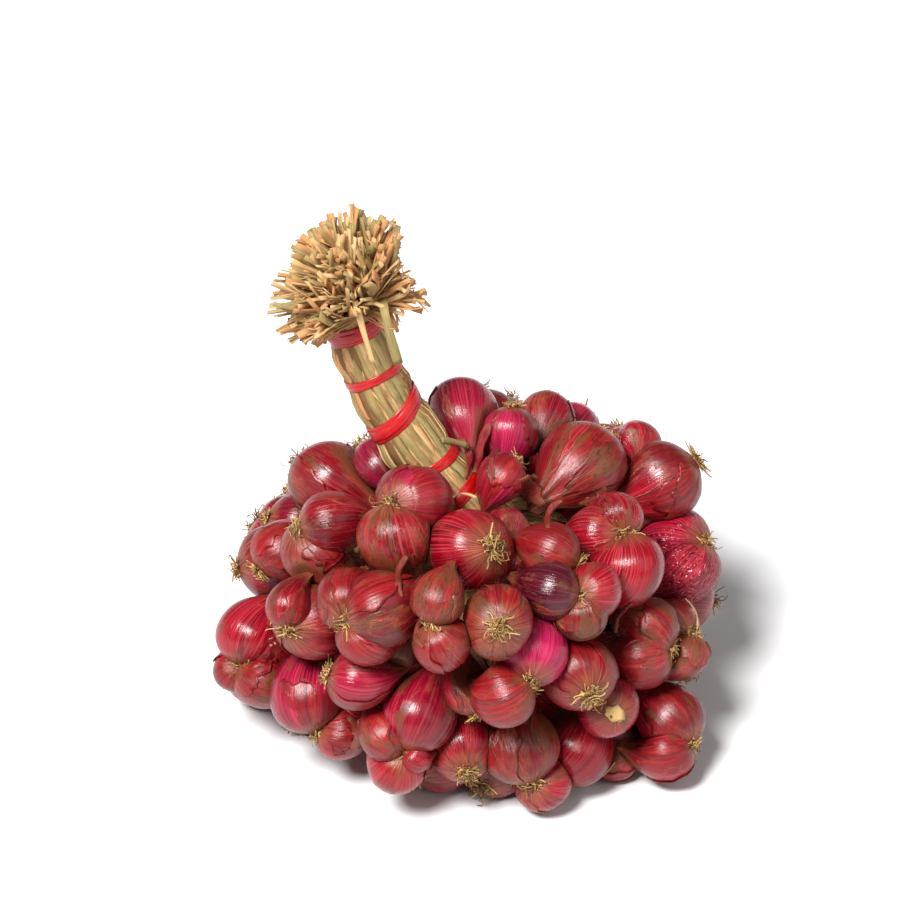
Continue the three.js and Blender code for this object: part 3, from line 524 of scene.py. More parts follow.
LEAF_SECTION = np.array([(-0.5, -0.3), (0.0, -0.6), (0.5, -0.3), (0.5, 0.3), (0.0, 0.6), (-0.5, 0.3)])
CURLED_SECTION = np.array([
    (-0.5, 1.3), (-0.38, 0.45), (-0.2, 0.05), (0.05, 0.0), (0.28, 0.3), (0.42, 0.9), (0.46, 1.6),
    (0.5, 1.55), (0.47, 0.75), (0.32, 0.1), (0.06, -0.22), (-0.22, -0.18), (-0.42, 0.25), (-0.55, 1.2),
])
ROOT_SECTION = np.array([(-0.5, -0.4), (0.5, -0.4), (0.0, 0.6)])


def blank_strips(count, stations):
    """Empty lines, ways across, widths and tints for so many strips."""
    return (np.empty((count, stations, 3)), np.empty((count, stations, 3)), np.empty((count, stations)),
            np.empty((count, 3)))


def ribbons(gathered, lines, across, thickness, width, tints, slot=0, section=LEAF_SECTION):
    """Flat strips: lines is (strips, stations, 3), across the way of their width, width per station."""
    strips, stations, _ = lines.shape
    way = unit(np.gradient(lines, axis=1))
    across = unit(across - (across * way).sum(axis=2, keepdims=True) * way)
    face = np.cross(way, across)
    sides = len(section)
    corners = (lines[:, :, None] + across[:, :, None] * (section[:, 0] * width[..., None])[..., None]
               + face[:, :, None] * (section[:, 1] * np.broadcast_to(thickness, width.shape)[..., None])[..., None])
    length = np.concatenate([np.zeros((strips, 1)), np.linalg.norm(np.diff(lines, axis=1), axis=2).cumsum(axis=1)], axis=1)
    faces = loft_faces(stations, sides)
    for n in range(strips):
        grain = np.empty((stations, sides, 3))
        grain[..., 0] = section[:, 0] * width[n][:, None] + n * 7.31
        grain[..., 1] = length[n][:, None]
        grain[..., 2] = (length[n] / length[n, -1])[:, None]
        gathered.add(corners[n].reshape(-1, 3), faces, grain.reshape(-1, 3), tints[n], slot)


# Bulbs

BULB_CURVE = np.array([
    (0.0, 0.0), (0.012, 0.105), (0.035, 0.2), (0.07, 0.305), (0.11, 0.385), (0.17, 0.46), (0.24, 0.512),
    (0.32, 0.535), (0.40, 0.532), (0.48, 0.505), (0.57, 0.445), (0.66, 0.358), (0.75, 0.255), (0.84, 0.16),
    (0.92, 0.1), (0.97, 0.08), (1.0, 0.0),
])


def bulb_radius(t):
    """Radius in diameters at each place from root to neck tip, smooth between the read places."""
    knots, radii = BULB_CURVE.T
    slopes = np.gradient(radii, knots)
    slopes[0], slopes[-1] = 6.0, -6.0
    i = np.clip(np.searchsorted(knots, t, side="right") - 1, 0, len(knots) - 2)
    step = knots[i + 1] - knots[i]
    u = (t - knots[i]) / step
    value = ((1 + 2 * u) * (1 - u) ** 2 * radii[i] + u * (1 - u) ** 2 * step * slopes[i]
             + u**2 * (3 - 2 * u) * radii[i + 1] + u**2 * (u - 1) * step * slopes[i + 1])
    return np.maximum(value, 0)


class Bulb:
    """One bulb's bent skin: corners of the master ball carried onto its spine."""

    def __init__(self, plant, index, number, owner):
        self.diameter, self.way, _ = plant.bulbs[index]
        self.number, self.owner, self.seen = number, owner, plant.seen
        self.belly = plant.belly(index)
        aim = unit(nearest_on_line(self.belly, STEM[0], CORE_CENTRE) - self.belly)
        neck_way = unit(self.way * (1 - NECK_TURN) + aim * NECK_TURN)
        self.spine = [plant.root, self.belly + self.way * self.diameter * KNEE_REACH,
                      self.belly + neck_way * self.diameter * NECK_REACH]
        flank = np.cross(self.way, self.spine[2] - self.spine[1])
        if np.linalg.norm(flank) < 0.5:
            flank = np.cross(self.way, SKEW)
        self.flank = unit(flank)
        self.draws = draws(number, 20, 8)

    def place(self, t, theta, lift=0.0):
        """Points on the skin at the given place along and angle about the bulb."""
        a, b, c, d, e, f, g, h = self.draws
        body = np.sin(np.pi * np.clip(t, 0, 1)) ** 0.7
        lobes = (1 + body * (0.035 * (a + 0.3) * np.cos(2 * theta + ANY_TURN * b) + 0.022 * np.cos(3 * theta + ANY_TURN * c)
                 + 0.010 * np.cos(5 * theta + ANY_TURN * d + 2 * t) + 0.006 * np.cos(theta + ANY_TURN * e - 9 * t)
                 + 0.0025 * np.cos(11 * theta + ANY_TURN * f + 4 * t)))
        neck = np.clip((t - 0.62) / 0.38, 0, 1)
        pinch = 1 + neck * (0.16 * np.cos(4 * theta + ANY_TURN * g) + 0.12 * np.cos(7 * theta + ANY_TURN * h))
        radius = bulb_radius(t) * self.diameter * lobes * pinch * mix(0.97, 1.03, a) + lift
        way = bezier_way(self.spine, t)
        other = np.cross(way, self.flank)
        outwards = self.flank * np.cos(theta)[..., None] + other * np.sin(theta)[..., None]
        return bezier(self.spine, t) + outwards * radius[..., None]


def least_overlap(one, other, start):
    """Direction in which two sets of corners overlap least, and by how much."""
    best = start
    depth = (one @ best).max() - (other @ best).min()
    for swing in (0.5, 0.25, 0.12, 0.06):
        side = unit(np.cross(best, SKEW))
        rise = np.cross(best, side)
        turns = np.arange(8) * math.pi / 4
        ways = unit(best + (side * np.cos(turns)[:, None] + rise * np.sin(turns)[:, None]) * swing)
        found = (one @ ways.T).max(axis=0) - (other @ ways.T).min(axis=0)
        if found.min() < depth:
            depth = found.min()
            best = ways[found.argmin()]
    return best, depth


def press_flat(bulbs, sleeves):
    """Bulbs of different plants that would cross are pressed flat on either side of a plane."""
    limits = [[] for _ in bulbs]
    rough = [bulb.corners[::3] for bulb in bulbs]
    for i, one in enumerate(bulbs):
        for j in range(i + 1, len(bulbs)):
            other = bulbs[j]
            gap = other.belly - one.belly
            if one.owner == other.owner or np.linalg.norm(gap) > TOUCH_RANGE * (one.diameter + other.diameter) + TOUCH_MARGIN:
                continue
            way, depth = least_overlap(rough[i], rough[j], unit(gap))
            if depth > -CONTACT_GAP:
                level = (rough[i] @ way).max() - depth / 2
                limits[i].append((way, level - CONTACT_GAP / 2))
                limits[j].append((-way, -level - CONTACT_GAP / 2))
        for sleeve in sleeves:
            way, depth = least_overlap(rough[i], sleeve, unit(sleeve.mean(axis=0) - one.belly))
            if depth > -CONTACT_GAP:
                limits[i].append((way, (rough[i] @ way).max() - depth - CONTACT_GAP))
    for bulb, own in zip(bulbs, limits):
        own.append((vec(0, 0, -1), 0.0))
        bulb.limits = own


def held_in(bulb, corners):
    """Corners set back to the near side of the bulb's planes, with a soft shoulder at each flat."""
    for turn in range(PRESS_ROUNDS):
        for way, level in bulb.limits:
            over = corners @ way - level
            eased = np.where(over > SHOULDER, over, (over + SHOULDER) ** 2 / (4 * SHOULDER))
            back = np.where(over > -SHOULDER, eased, 0) if turn == 0 else np.maximum(over, 0)
            corners = corners - back[:, None] * way
    return corners


# The one plant whose roots have come off, which leaves a cream scar
SCARRED_PLANT = 31
# How far from a neighbour the painted crease shade reaches, in millimetres, and how much of it is added to the stain
# amount
CREASE_REACH = 2.2
CREASE_PAINTED_SHADE = 1.1
# The rootlets' material on a piece, and their width from root to tip
ROOTLET_SLOT = 1
ROOTLET_WIDTHS = (0.78, 0.5)
# Segments and rings of a bulb out of view
HIDDEN_BULB_GRID = (36, 26)


def above_floor(points, least):
    """Points that would lie under the floor are laid on it."""
    points = points.copy()
    points[:, 2] = np.maximum(points[:, 2], least + 0.02 * (points[:, 2] - least))
    return points


def painted_crease_shade(bulb, corners):
    """1 where the skin touches a neighbour, fading out over a few millimetres: it paints shade into the creases between
    bulbs.
    """
    gap = np.min([level - corners @ way for way, level in bulb.limits], axis=0)
    return np.exp(-np.maximum(gap, 0) / CREASE_REACH)


def rootlets(gathered, plate, root, way, size, number, count, scar):
    """A tangled tuft of thin curling rootlets on a brown root plate."""
    first = unit(np.cross(way, SKEW))
    second = np.cross(way, first)
    corners, faces = plate
    shape = corners * ((1.0, 0.72, 0.12) if scar else (0.58, 0.58, 0.3)) * size
    shape = shape * (1 + (0.22 if scar else 0.16) * np.sin(corners @ vec(5, 3, 4) + number)[:, None])
    placed = above_floor(root + first * shape[:, :1] + second * shape[:, 1:2] + way * (shape[:, 2:] - 0.04 * size), 0.05)
    gathered.add(placed, faces, placed * 0.3, (0, 0, 0) if scar else (0.9, 0.2, 1.0), ROOTLET_SLOT)
    steps = 7
    lines, _, widths, tints = blank_strips(count, steps)
    u = np.linspace(0, 1, steps)[:, None]
    for k in range(count):
        a, b, c, d, e, g = draws(number * 131 + k, 40, 6)
        turn = k * GOLDEN_TURN + 1.5 * a
        out = math.sqrt((k + 0.5) / count)
        base = first * math.cos(turn) + second * math.sin(turn)
        lean = mix(0.1, 1.25, out) + 1.2 * (b - 0.5)
        heading = way * math.cos(lean) + base * math.sin(lean)
        side = unit(np.cross(heading, base + 0.1 * way))
        length = size * mix(0.45, 1.1, c * c)
        start = root + base * out * size * 0.56 - way * 0.25
        curl = side * np.sin(u * mix(2.5, 7.0, d) + ANY_TURN * e) + base * np.cos(u * mix(2.0, 6.0, e) + ANY_TURN * g)
        lines[k] = above_floor(start + heading * length * u + (curl - curl[0]) * u**0.7 * length * 0.42, 0.5)
        widths[k] = np.linspace(*ROOTLET_WIDTHS, steps) * mix(0.6, 1.5, b)
        tints[k] = (a, mix(0.3, 1.0, out) * c, d)
    across = np.broadcast_to(np.cross(way, lines[:, -1] - lines[:, 0])[:, None] + 0.01 * SKEW, lines.shape)
    ribbons(gathered, lines, across, widths * 0.75, widths, tints, ROOTLET_SLOT, ROOT_SECTION)


def torn_skin(gathered, bulb, number, start, end, middle, spread, curl):
    """A loose layer of dry skin on a bulb, from near its root up, with a ragged edge that lifts a little."""
    rows, across = 18, 15
    u, v = np.meshgrid(np.linspace(0, 1, rows), np.linspace(-1, 1, across), indexing="ij")
    a, b, c, d, e = (ANY_TURN * draw for draw in draws(bulb.number * 9 + number, 110, 5))
    half = spread * (0.6 + 0.4 * np.sin(math.pi * (0.1 + 0.8 * u)))
    half = half * (1 + 0.16 * np.sin(6 * u + a) + 0.08 * np.sin(17 * u + b))
    theta = middle + v * half + 0.25 * np.sin(2.5 * u + c)
    reach = end + 0.05 * np.sin(2.5 * v + d) + 0.03 * np.sin(7 * v + e) + 0.012 * np.sin(19 * v + a)
    t = start + (reach - start) * u
    edge = np.maximum(np.abs(v) ** 7, u**9) * (0.55 + 0.45 * np.sin(3 * theta + 5 * t + b))
    lift = 0.2 + 0.12 * np.sin(4 * theta + 7 * t + c) ** 2 + edge * curl
    t, theta, lift = t.ravel(), theta.ravel(), lift.ravel()
    corners = np.concatenate([bulb.place(t, theta, lift), bulb.place(t, theta, lift - 0.14)])
    layer = rows * across
    grid = [(i * across + j, i * across + j + 1, (i + 1) * across + j + 1, (i + 1) * across + j)
            for i in range(rows - 1) for j in range(across - 1)]
    rim = ([j for j in range(across)] + [(i + 1) * across - 1 for i in range(1, rows)]
           + [layer - 1 - j for j in range(1, across)] + [i * across for i in range(rows - 2, 0, -1)])
    faces = grid + [tuple(layer + k for k in reversed(face)) for face in grid]
    faces += [(one, layer + one, layer + other, other) for one, other in zip(rim, rim[1:] + rim[:1])]
    middle_face = corners[list(grid[len(grid) // 2])]
    normal = np.cross(middle_face[1] - middle_face[0], middle_face[3] - middle_face[0])
    if normal @ (middle_face[0] - bulb.belly) < 0:
        faces = [tuple(reversed(face)) for face in faces]
    corners = held_in(bulb, corners)
    grain = np.stack([np.cos(theta), np.sin(theta), t + 4 * (bulb.number + 150 * number)], axis=1)
    _, dirt, hue = bulb_tint(bulb)
    gathered.add(corners, faces, np.concatenate([grain, grain]), (1.2, dirt + 0.1, hue * 0.6))


# For each bulb, how far the outer skin covers it, how stained it is (below -0.5 crumpled instead), and its
# hue from plum (-1) over crimson (0) and magenta (1) to the freshest pink (2)
BULB_LOOKS = [
    (0.35, 0.6, -0.2), (0.5, 0.4, 0), (0.4, 0.5, 0), (0.3, 0.3, 0.1), (0.2, 0.2, 0.2), (0.5, 0.4, 0),
    (0.6, 0.3, 0), (0.5, 0.4, 0), (0.6, 0.4, 0), (0.7, 0.4, 0), (0.6, 0.5, 0), (0.6, 0.5, 0.1),
    (0.5, 0.3, 0.2), (0.3, 0.2, 0.6), (0.4, 0.3, 0.1), (0.2, 0.2, 0.5), (0.3, 0.2, 0.4), (0.5, 0.8, 0),
    (0.4, 0.4, 0.1), (0.1, 0.1, 0.3), (0.2, 0.2, 0.2), (0.7, 0.5, 0), (0.9, 1.1, -0.5), (0.8, 0.8, 0),
    (0.15, 0.2, 0.1), (0.3, 0.2, 0.8), (0.6, 0.9, -0.2), (0.4, 0.3, 0.7), (0.7, 0.3, 0.1),
    (0.2, 0.1, 0.8), (0.3, 0.1, 0.5), (0.3, 0.3, 0.4), (0.2, 0.2, 0.9), (0.6, 0.7, -0.4), (0.1, 0.1, 1.0),
    (0.7, 0.7, 0), (0.6, 0.5, 0), (0.4, 0.3, 0.3), (0.5, 0.2, 0.1), (0.4, 0.5, 0), (0.4, 0.4, 0),
    (0.15, 0.1, 0.1), (0.1, -1.0, 0.4), (0.1, -1.0, 0.4), (0.8, 0.3, -0.1), (0.2, 0.6, -1.0),
    (0.2, 0.5, -0.1), (0.5, 1.1, -0.7), (0.0, -0.4, 2.0), (0.8, 0.5, 0), (0.6, 0.9, 0), (0.4, 0.5, 0),
    (0.3, 0.0, 0.1), (0.9, 0.2, 0), (0.1, 0.0, 0.1), (0.5, 0.3, 0.1), (0.5, 0.4, 0.1), (0.5, 0.7, 0.3),
    (0.7, 0.3, 0), (0.5, 0.3, 0), (0.6, 1.0, -0.3), (0.1, 0.3, 0.2), (0.5, 0.3, 0), (0.4, 0.6, -0.2),
    (0.5, 0.3, 0.6), (0.4, 0.7, -0.6),
]


def bulb_tint(bulb):
    """Outer skin, stains and hue of one bulb."""
    if bulb.number <= len(BULB_LOOKS):
        return BULB_LOOKS[bulb.number - 1]
    a, b, c = draws(bulb.number, 30, 3)
    return (a * 0.8, b * 0.7, 1.4 * c - 0.5)


# Shader finishes


class Value:
    """A node socket that Python sums act on: each operator adds its Math node."""

    def __init__(self, finish, socket):
        self.finish = finish
        self.socket = socket

    def __add__(self, other):
        return self.finish.math("ADD", self, other)

    __radd__ = __add__

    def __mul__(self, other):
        return self.finish.math("MULTIPLY", self, other)

    __rmul__ = __mul__

    def __sub__(self, other):
        return self.finish.math("SUBTRACT", self, other)

    def __rsub__(self, other):
        return self.finish.math("SUBTRACT", other, self)


class Finish:
    """One material: its nodes are added by name of what they give."""

    def __init__(self, name, **constants):
        self.material = bpy.data.materials.new(name)
        self.material.use_nodes = True
        self.tree = self.material.node_tree
        self.shader = self.tree.nodes["Principled BSDF"]
        for label, value in constants.items():
            self.shader.inputs[label.replace("_", " ")].default_value = value

    def node(self, kind, settings=None, sockets=None, output=0):
        """Adds any node: settings first, then the values or links of its sockets."""
        made = self.tree.nodes.new(kind)
        for label, value in (settings or {}).items():
            setattr(made, label, value)
        for label, value in (sockets or {}).items():
            if isinstance(value, Value):
                self.tree.links.new(value.socket, made.inputs[label])
            else:
                made.inputs[label].default_value = value
        return Value(self, made.outputs[output])

    def math(self, operation, *values):
        return self.node("ShaderNodeMath", {"operation": operation}, dict(enumerate(values)))

    def attribute(self, label):
        return self.node("ShaderNodeAttribute", {"attribute_name": label}, output=1)

    def axis(self, vector, label):
        return self.node("ShaderNodeSeparateXYZ", sockets={0: vector}, output=label)

    def scaled(self, vector, x, y, z, shift=(0, 0, 0)):
        return self.node("ShaderNodeMapping", sockets={"Vector": vector, "Scale": (x, y, z), "Location": shift})

    def noise(self, vector, scale=1.0, detail=3.0, rough=0.55, warp=0.0):
        return self.node("ShaderNodeTexNoise", sockets={
            "Vector": vector, "Scale": scale, "Detail": detail, "Roughness": rough, "Distortion": warp})

    def between(self, value, low, high):
        """0 below low, 1 above high, smooth between."""
        return self.node("ShaderNodeMapRange", {"interpolation_type": "SMOOTHSTEP"},
                         {"Value": value, "From Min": low, "From Max": high})

    def blend(self, factor, one, other):
        """Mixes two colours."""
        return self.node("ShaderNodeMix", {"data_type": "RGBA", "clamp_factor": True},
                         {0: factor, 6: one, 7: other}, output=2)

    def bump(self, height, strength, distance):
        return self.node("ShaderNodeBump", sockets={"Height": height, "Strength": strength, "Distance": distance})

    def feed(self, **links):
        for label, value in links.items():
            self.tree.links.new(value.socket, self.shader.inputs[label.replace("_", " ")])
        return self.material


def colour(values):
    return (*values[:3], 1.0)


def skin_finish(look, name="shallot_skin"):
    """Glossy inner skin with fine veins, and over part of it a duller outer one, stained and torn at its edge; on the
    bulbs the stains also carry painted shade in the creases between them.
    """
    f = Finish(name, Specular_IOR_Level=0.38)
    grain = f.attribute("grain")
    tint = f.attribute("tint")
    # The second tint number is the stain amount; on the bulbs it also holds the painted crease shade near neighbouring
    # bulbs, which the tan, olive and brown marks below follow
    shell, dirt, hue = (f.axis(tint, k) for k in range(3))
    along = f.math("FLOORED_MODULO", f.axis(grain, 2), 4.0)
    fine = f.noise(f.scaled(grain, 34, 34, 0.8), detail=3)
    lines = f.noise(f.scaled(grain, 14, 14, 0.7, (1, 6, 2)), detail=5, rough=0.6)
    wide = f.noise(f.scaled(grain, 1.8, 1.8, 1.5, (2, 5, 1)), detail=4)
    cloud = f.noise(f.scaled(grain, 2.2, 2.2, 3.2, (3, 1, 7)), detail=6, rough=0.65)
    streak = f.noise(f.scaled(grain, 5, 5, 3.6, (5, 5, 1)), detail=5, rough=0.65)
    speck = f.noise(f.scaled(grain, 15, 15, 18, (4, 4, 4)), detail=3, rough=0.65)
    folds = f.math("ABSOLUTE", f.noise(f.scaled(grain, 4.2, 4.2, 6, (2, 2, 2)), detail=1, warp=1.4) - 0.5)
    crumple = f.between(dirt, -0.5, -1.0) * folds
    ragged = (speck - 0.5) * 0.05 + (lines - 0.5) * 0.07
    split = f.noise(f.scaled(grain, 0.9, 0.9, 1.2, (9, 2, 4)), detail=2) + ragged + shell * 0.62
    outer = f.between(split, 0.805, 0.82)
    rim = f.between(f.math("ABSOLUTE", split - 0.815), 0.012, 0.0)
    inner = f.blend(f.between(hue, 0.1, 1.0), colour(look.skin_crimson), colour(look.skin_magenta))
    inner = f.blend(f.between(hue, 1.0, 2.0), inner, colour(look.skin_fresh))
    inner = f.blend(f.between(hue, 0.0, -1.0), inner, colour(look.skin_plum))
    inner = f.blend(f.between(wide, 0.42, 0.68) * 0.7, inner, colour(look.skin_deep))
    inner = f.blend(f.between(fine, 0.5, 0.62) * (f.between(hue, -1.0, 0.0) * 0.3 + 0.15), inner, colour(look.skin_blush))
    dry = f.blend(f.between(lines, 0.36, 0.62), colour(look.paper_pink), colour(look.paper_rust))
    dry = f.blend(f.between(wide, 0.35, 0.65) * 0.7, dry, inner)
    dry = f.blend(f.between(fine, 0.5, 0.64) * 0.6, dry, colour(look.skin_deep))
    base = f.blend(outer, inner, dry)
    own = f.noise(f.scaled(grain, 0.25, 0.25, 0.31, (6, 6, 6)), detail=1)
    base = f.blend(f.between(own, 0.46, 0.7) * 0.58, base, colour(look.skin_deep))
    base = f.blend(f.between(folds, 0.05, 0.0) * f.between(dirt, -0.5, -1.0) * 0.5, base, colour(look.skin_blush))
    base = f.blend(f.between(lines, 0.52, 0.64) * 0.35, base, colour(look.skin_deep))
    base = f.blend(rim * 0.5, base, colour(look.paper_tan))
    mottle = cloud * 0.6 + streak * 0.2 + speck * 0.2
    tan = f.between(mottle + dirt * 0.085 + outer * 0.02, 0.56, 0.68)
    base = f.blend(tan * 0.34, base, colour(look.paper_tan))
    stain = f.between(f.noise(f.scaled(grain, 1.5, 1.5, 2.2, (8, 3, 2)), detail=6, rough=0.6) * 0.7 + streak * 0.2
                      + speck * 0.1 + dirt * 0.1, 0.6, 0.64)
    base = f.blend(stain * 0.62, base, colour(look.paper_olive))
    specks = f.between(speck, 0.56, 0.65) * f.between(dirt + outer * 0.4 + stain * 0.5, 0.2, 1.3)
    base = f.blend(specks * 0.75, base, colour(look.paper_brown))
    root = f.between(along + (lines - 0.5) * 0.14 + (speck - 0.5) * 0.03, 0.125, 0.03)
    neck = f.between(along + (wide - 0.5) * 0.3 + (lines - 0.5) * 0.2, 0.72, 0.95)
    worn = f.math("MAXIMUM", root, neck)
    paper = f.blend(f.between(fine, 0.42, 0.6), colour(look.paper_tan), colour(look.paper_brown))
    base = f.blend(worn * 0.85, base, paper)
    dull = f.math("MAXIMUM", f.math("MAXIMUM", outer * 0.6, worn), f.math("MAXIMUM", tan, stain))
    relief = fine * 0.2 + lines * 0.7 + wide * 0.25 + outer * 0.4 + speck * 0.2 + speck * dull * 0.3 + crumple * 13.0
    return f.feed(Base_Color=base, Roughness=dull * 0.18 + 0.15 + lines * 0.13, Normal=f.bump(relief, 0.5, 0.0008))


def straw_finish(look, name="dried_leaf"):
    """Dried flat leaf: straw with lengthwise fibres, khaki and brown strips among it."""
    f = Finish(name, Specular_IOR_Level=0.3)
    grain = f.attribute("grain")
    tint = f.attribute("tint")
    tone, green, brown = (f.axis(tint, k) for k in range(3))
    fibre = f.noise(f.scaled(grain, 3.4, 0.05, 0.0), detail=4)
    cloud = f.noise(f.scaled(grain, 0.4, 0.11, 0.0, (5, 2, 0)), detail=4)
    base = f.blend(f.between(tone + (cloud - 0.5) * 0.8, 0.1, 0.9), colour(look.straw_pale), colour(look.straw_gold))
    base = f.blend(f.between(green + (cloud - 0.5) * 0.5, 0.45, 0.8) * 0.85, base, colour(look.straw_khaki))
    base = f.blend(f.between(brown + (cloud - 0.5) * 0.6, 0.7, 1.1) * 0.8, base, colour(look.straw_brown))
    base = f.blend(f.between(fibre, 0.48, 0.68) * 0.55, base, colour(look.straw_brown))
    return f.feed(Base_Color=base, Roughness=fibre * 0.2 + 0.55, Normal=f.bump(fibre * 0.8 + cloud * 0.3, 0.6, 0.0005))


def rootlet_finish(look):
    """Dry curling rootlets, straw to brown."""
    f = Finish("dry_rootlets", Specular_IOR_Level=0.25)
    tint = f.attribute("tint")
    tone, brown = f.axis(tint, 0), f.axis(tint, 2)
    base = f.blend(f.between(tone, 0.1, 0.9), colour(look.root_cream), colour(look.root_tan))
    base = f.blend(f.between(brown, 0.62, 1.0) * 0.7, base, colour(look.paper_brown))
    return f.feed(Base_Color=base, Roughness=tone * 0.1 + 0.75)


def ribbon_finish(look):
    """Flat glossy plastic ribbon with fine lengthwise lines."""
    f = Finish("red_ribbon", Specular_IOR_Level=0.5)
    grain = f.attribute("grain")
    lines = f.noise(f.scaled(grain, 0.02, 5.0, 0.0), detail=2)
    crumple = f.noise(f.scaled(grain, 0.35, 0.5, 0.0), detail=2)
    base = f.blend(f.between(lines, 0.35, 0.7), colour(look.ribbon_red), colour(look.ribbon_deep))
    return f.feed(Base_Color=base, Roughness=crumple * 0.18 + 0.2, Normal=f.bump(lines * 0.5 + crumple, 0.35, 0.0005))


def floor_finish():
    """Plain pale floor."""
    f = Finish("pale_floor", Specular_IOR_Level=0.0)
    soft = f.noise(f.node("ShaderNodeTexCoord", output=3), scale=2.0)
    base = f.blend(soft, (0.7, 0.7, 0.7, 1), (0.72, 0.72, 0.72, 1))
    return f.feed(Base_Color=base, Roughness=soft * 0.05 + 0.9)


def linear(red, green, blue):
    """A colour as it is seen on a screen, 0 to 255, as the shader's own value."""
    return tuple(((v / 255 + 0.055) / 1.055) ** 2.4 if v > 10 else v / 255 / 12.92 for v in (red, green, blue))


def colour_property(name, description, shown):
    return FloatVectorProperty(name=name, description=description, subtype="COLOR", size=3, min=0, max=1,
                               default=linear(*shown))


class BunchLook(bpy.types.PropertyGroup):
    """Colours of the bunch."""

    skin_crimson: colour_property("Skin", "Main red of the glossy inner skin", (134, 3, 22))
    skin_magenta: colour_property("Skin, magenta", "Magenta of the fresher bulbs", (150, 14, 60))
    skin_fresh: colour_property("Skin, freshest", "Bright pink of the one bulb with its skin just off", (178, 20, 78))
    skin_plum: colour_property("Skin, plum", "Dark purple of a few bulbs", (58, 6, 24))
    skin_deep: colour_property("Skin, darkest", "Dark sides and veins of the skins", (66, 2, 7))
    skin_blush: colour_property("Skin, palest", "Pale pink veins in the skins", (204, 72, 84))
    paper_pink: colour_property("Outer skin, pink", "Dull pink of the dry outer skin", (154, 26, 30))
    paper_rust: colour_property("Outer skin, rust", "Browner red of the dry outer skin", (104, 10, 10))
    paper_tan: colour_property("Dry paper, tan", "Palest dry skin", (150, 78, 52))
    paper_olive: colour_property("Dry paper, olive", "Grey-green stains on the dry skin", (86, 56, 28))
    paper_brown: colour_property("Dry paper, brown", "Darkest dry skin", (44, 18, 9))
    root_cream: colour_property("Rootlets, light", "Light rootlets", (192, 158, 102))
    root_tan: colour_property("Rootlets, dark", "Darker rootlets", (130, 92, 48))
    straw_pale: colour_property("Straw, pale", "Palest dried leaves", (200, 163, 113))
    straw_gold: colour_property("Straw, golden", "Golden dried leaves", (182, 129, 80))
    straw_khaki: colour_property("Straw, khaki", "Greenish dried leaves", (132, 122, 74))
    straw_brown: colour_property("Straw, brown", "Brown dried leaves", (98, 56, 25))
    ribbon_red: colour_property("Ribbon", "Red of the ties", (186, 8, 14))
    ribbon_deep: colour_property("Ribbon, shade", "Darker lines in the ties", (136, 3, 8))


class BunchSizes(bpy.types.PropertyGroup):
    """Counts and sizes of the fine parts."""

    bulb_segments: IntProperty(name="Bulb segments",
        description="Faces round each bulb in view", default=52, min=12)
    rootlet_count: IntProperty(name="Rootlets",
        description="Rootlets in the tuft of each plant", default=84, min=8)
    rootlet_length: FloatProperty(name="Rootlet length",
        description="Length of the rootlets", default=0.0052, subtype="DISTANCE")
    strip_count: IntProperty(name="Stem leaves",
        description="Flat leaves laid along the stem", default=120, min=12)
    blade_count: IntProperty(name="Brush blades",
        description="Cut leaf ends in the brush", default=700, min=40)
    blade_reach: FloatProperty(name="Blade reach",
        description="Reach of the brush from its heart", default=0.041, subtype="DISTANCE")
    blade_width: FloatProperty(name="Blade width",
        description="Width of a cut leaf", default=0.0042, subtype="DISTANCE")
    light_power: FloatProperty(name="Key light", description="Strength of the soft key light", default=6.9)


class BUNCH_OT_shallots(bpy.types.Operator):
    """Make the skins and rootlets of every plant and group of bulbs"""

    bl_idname = "bunch.shallots"
    bl_label = "Shallots"

    def execute(self, context):
        look, sizes = context.scene.bunch_look, context.scene.bunch_sizes
        finishes = [skin_finish(look), rootlet_finish(look)]
        plate = master(lambda: bpy.ops.mesh.primitive_ico_sphere_add(subdivisions=2, radius=1))
        fine = ball(sizes.bulb_segments, sizes.bulb_segments * 3 // 4)
        rough = ball(*HIDDEN_BULB_GRID)
        bulbs = []
        for owner, plants in enumerate(NODES):
            for plant in plants:
                for index in range(len(plant.bulbs)):
                    bulbs.append(Bulb(plant, index, len(bulbs) + 1, owner))
        for bulb in bulbs:
            bulb.t, bulb.theta, bulb.faces = fine if bulb.seen else rough
            bulb.corners = bulb.place(bulb.t, bulb.theta)
        press_flat(bulbs, stem_sleeves())
        for owner, plants in enumerate(NODES):
            gathered = Gathered()
            for bulb in (b for b in bulbs if b.owner == owner):
                grain = np.stack([np.cos(bulb.theta), np.sin(bulb.theta), bulb.t + 4 * bulb.number], axis=1)
                corners = held_in(bulb, bulb.corners)
                # Painted shade: near a neighbouring bulb the stain amount is raised, so the creases between bulbs take
                # the darker stain colours
                tint = np.array(bulb_tint(bulb)) + painted_crease_shade(bulb, corners)[:, None] * (0, CREASE_PAINTED_SHADE, 0)
                gathered.add(corners, bulb.faces, grain, tint)
                for number in range(1, 3):
                    a, b, c, d = draws(bulb.number * 5 + number, 120, 4)
                    if bulb.seen and a < 0.75 * sum(bulb_tint(bulb)[:2]) + 0.15:
                        torn_skin(gathered, bulb, number, 0.03 + 0.05 * b, mix(0.3, 0.72, c), ANY_TURN * d, mix(0.4, 1.1, b),
                                  mix(0.3, 1.3, a))
            for number, plant in enumerate(plants):
                way = unit(-sum(way for _, way, _ in plant.bulbs))
                size = sizes.rootlet_length / MM * max(d for d, _, _ in plant.bulbs) / HIDDEN_BULB_DIAMETER
                count = sizes.rootlet_count if plant.seen else sizes.rootlet_count // 2
                scar = owner == SCARRED_PLANT
                if scar:
                    count, size = 2, size * 1.15
                rootlets(gathered, plate, plant.root, way, size, owner * 7 + number + 1, count, scar)
            name = f"shallot_{owner + 1:02d}"
            piece = gathered.make(f"bulbs_{owner + 1:02d}", finishes)
            slot = next(s["material_slot"] for s in frame["record"]["subparts"] if s["node"] == name)
            settle(piece, slot, name)
        return {"FINISHED"}


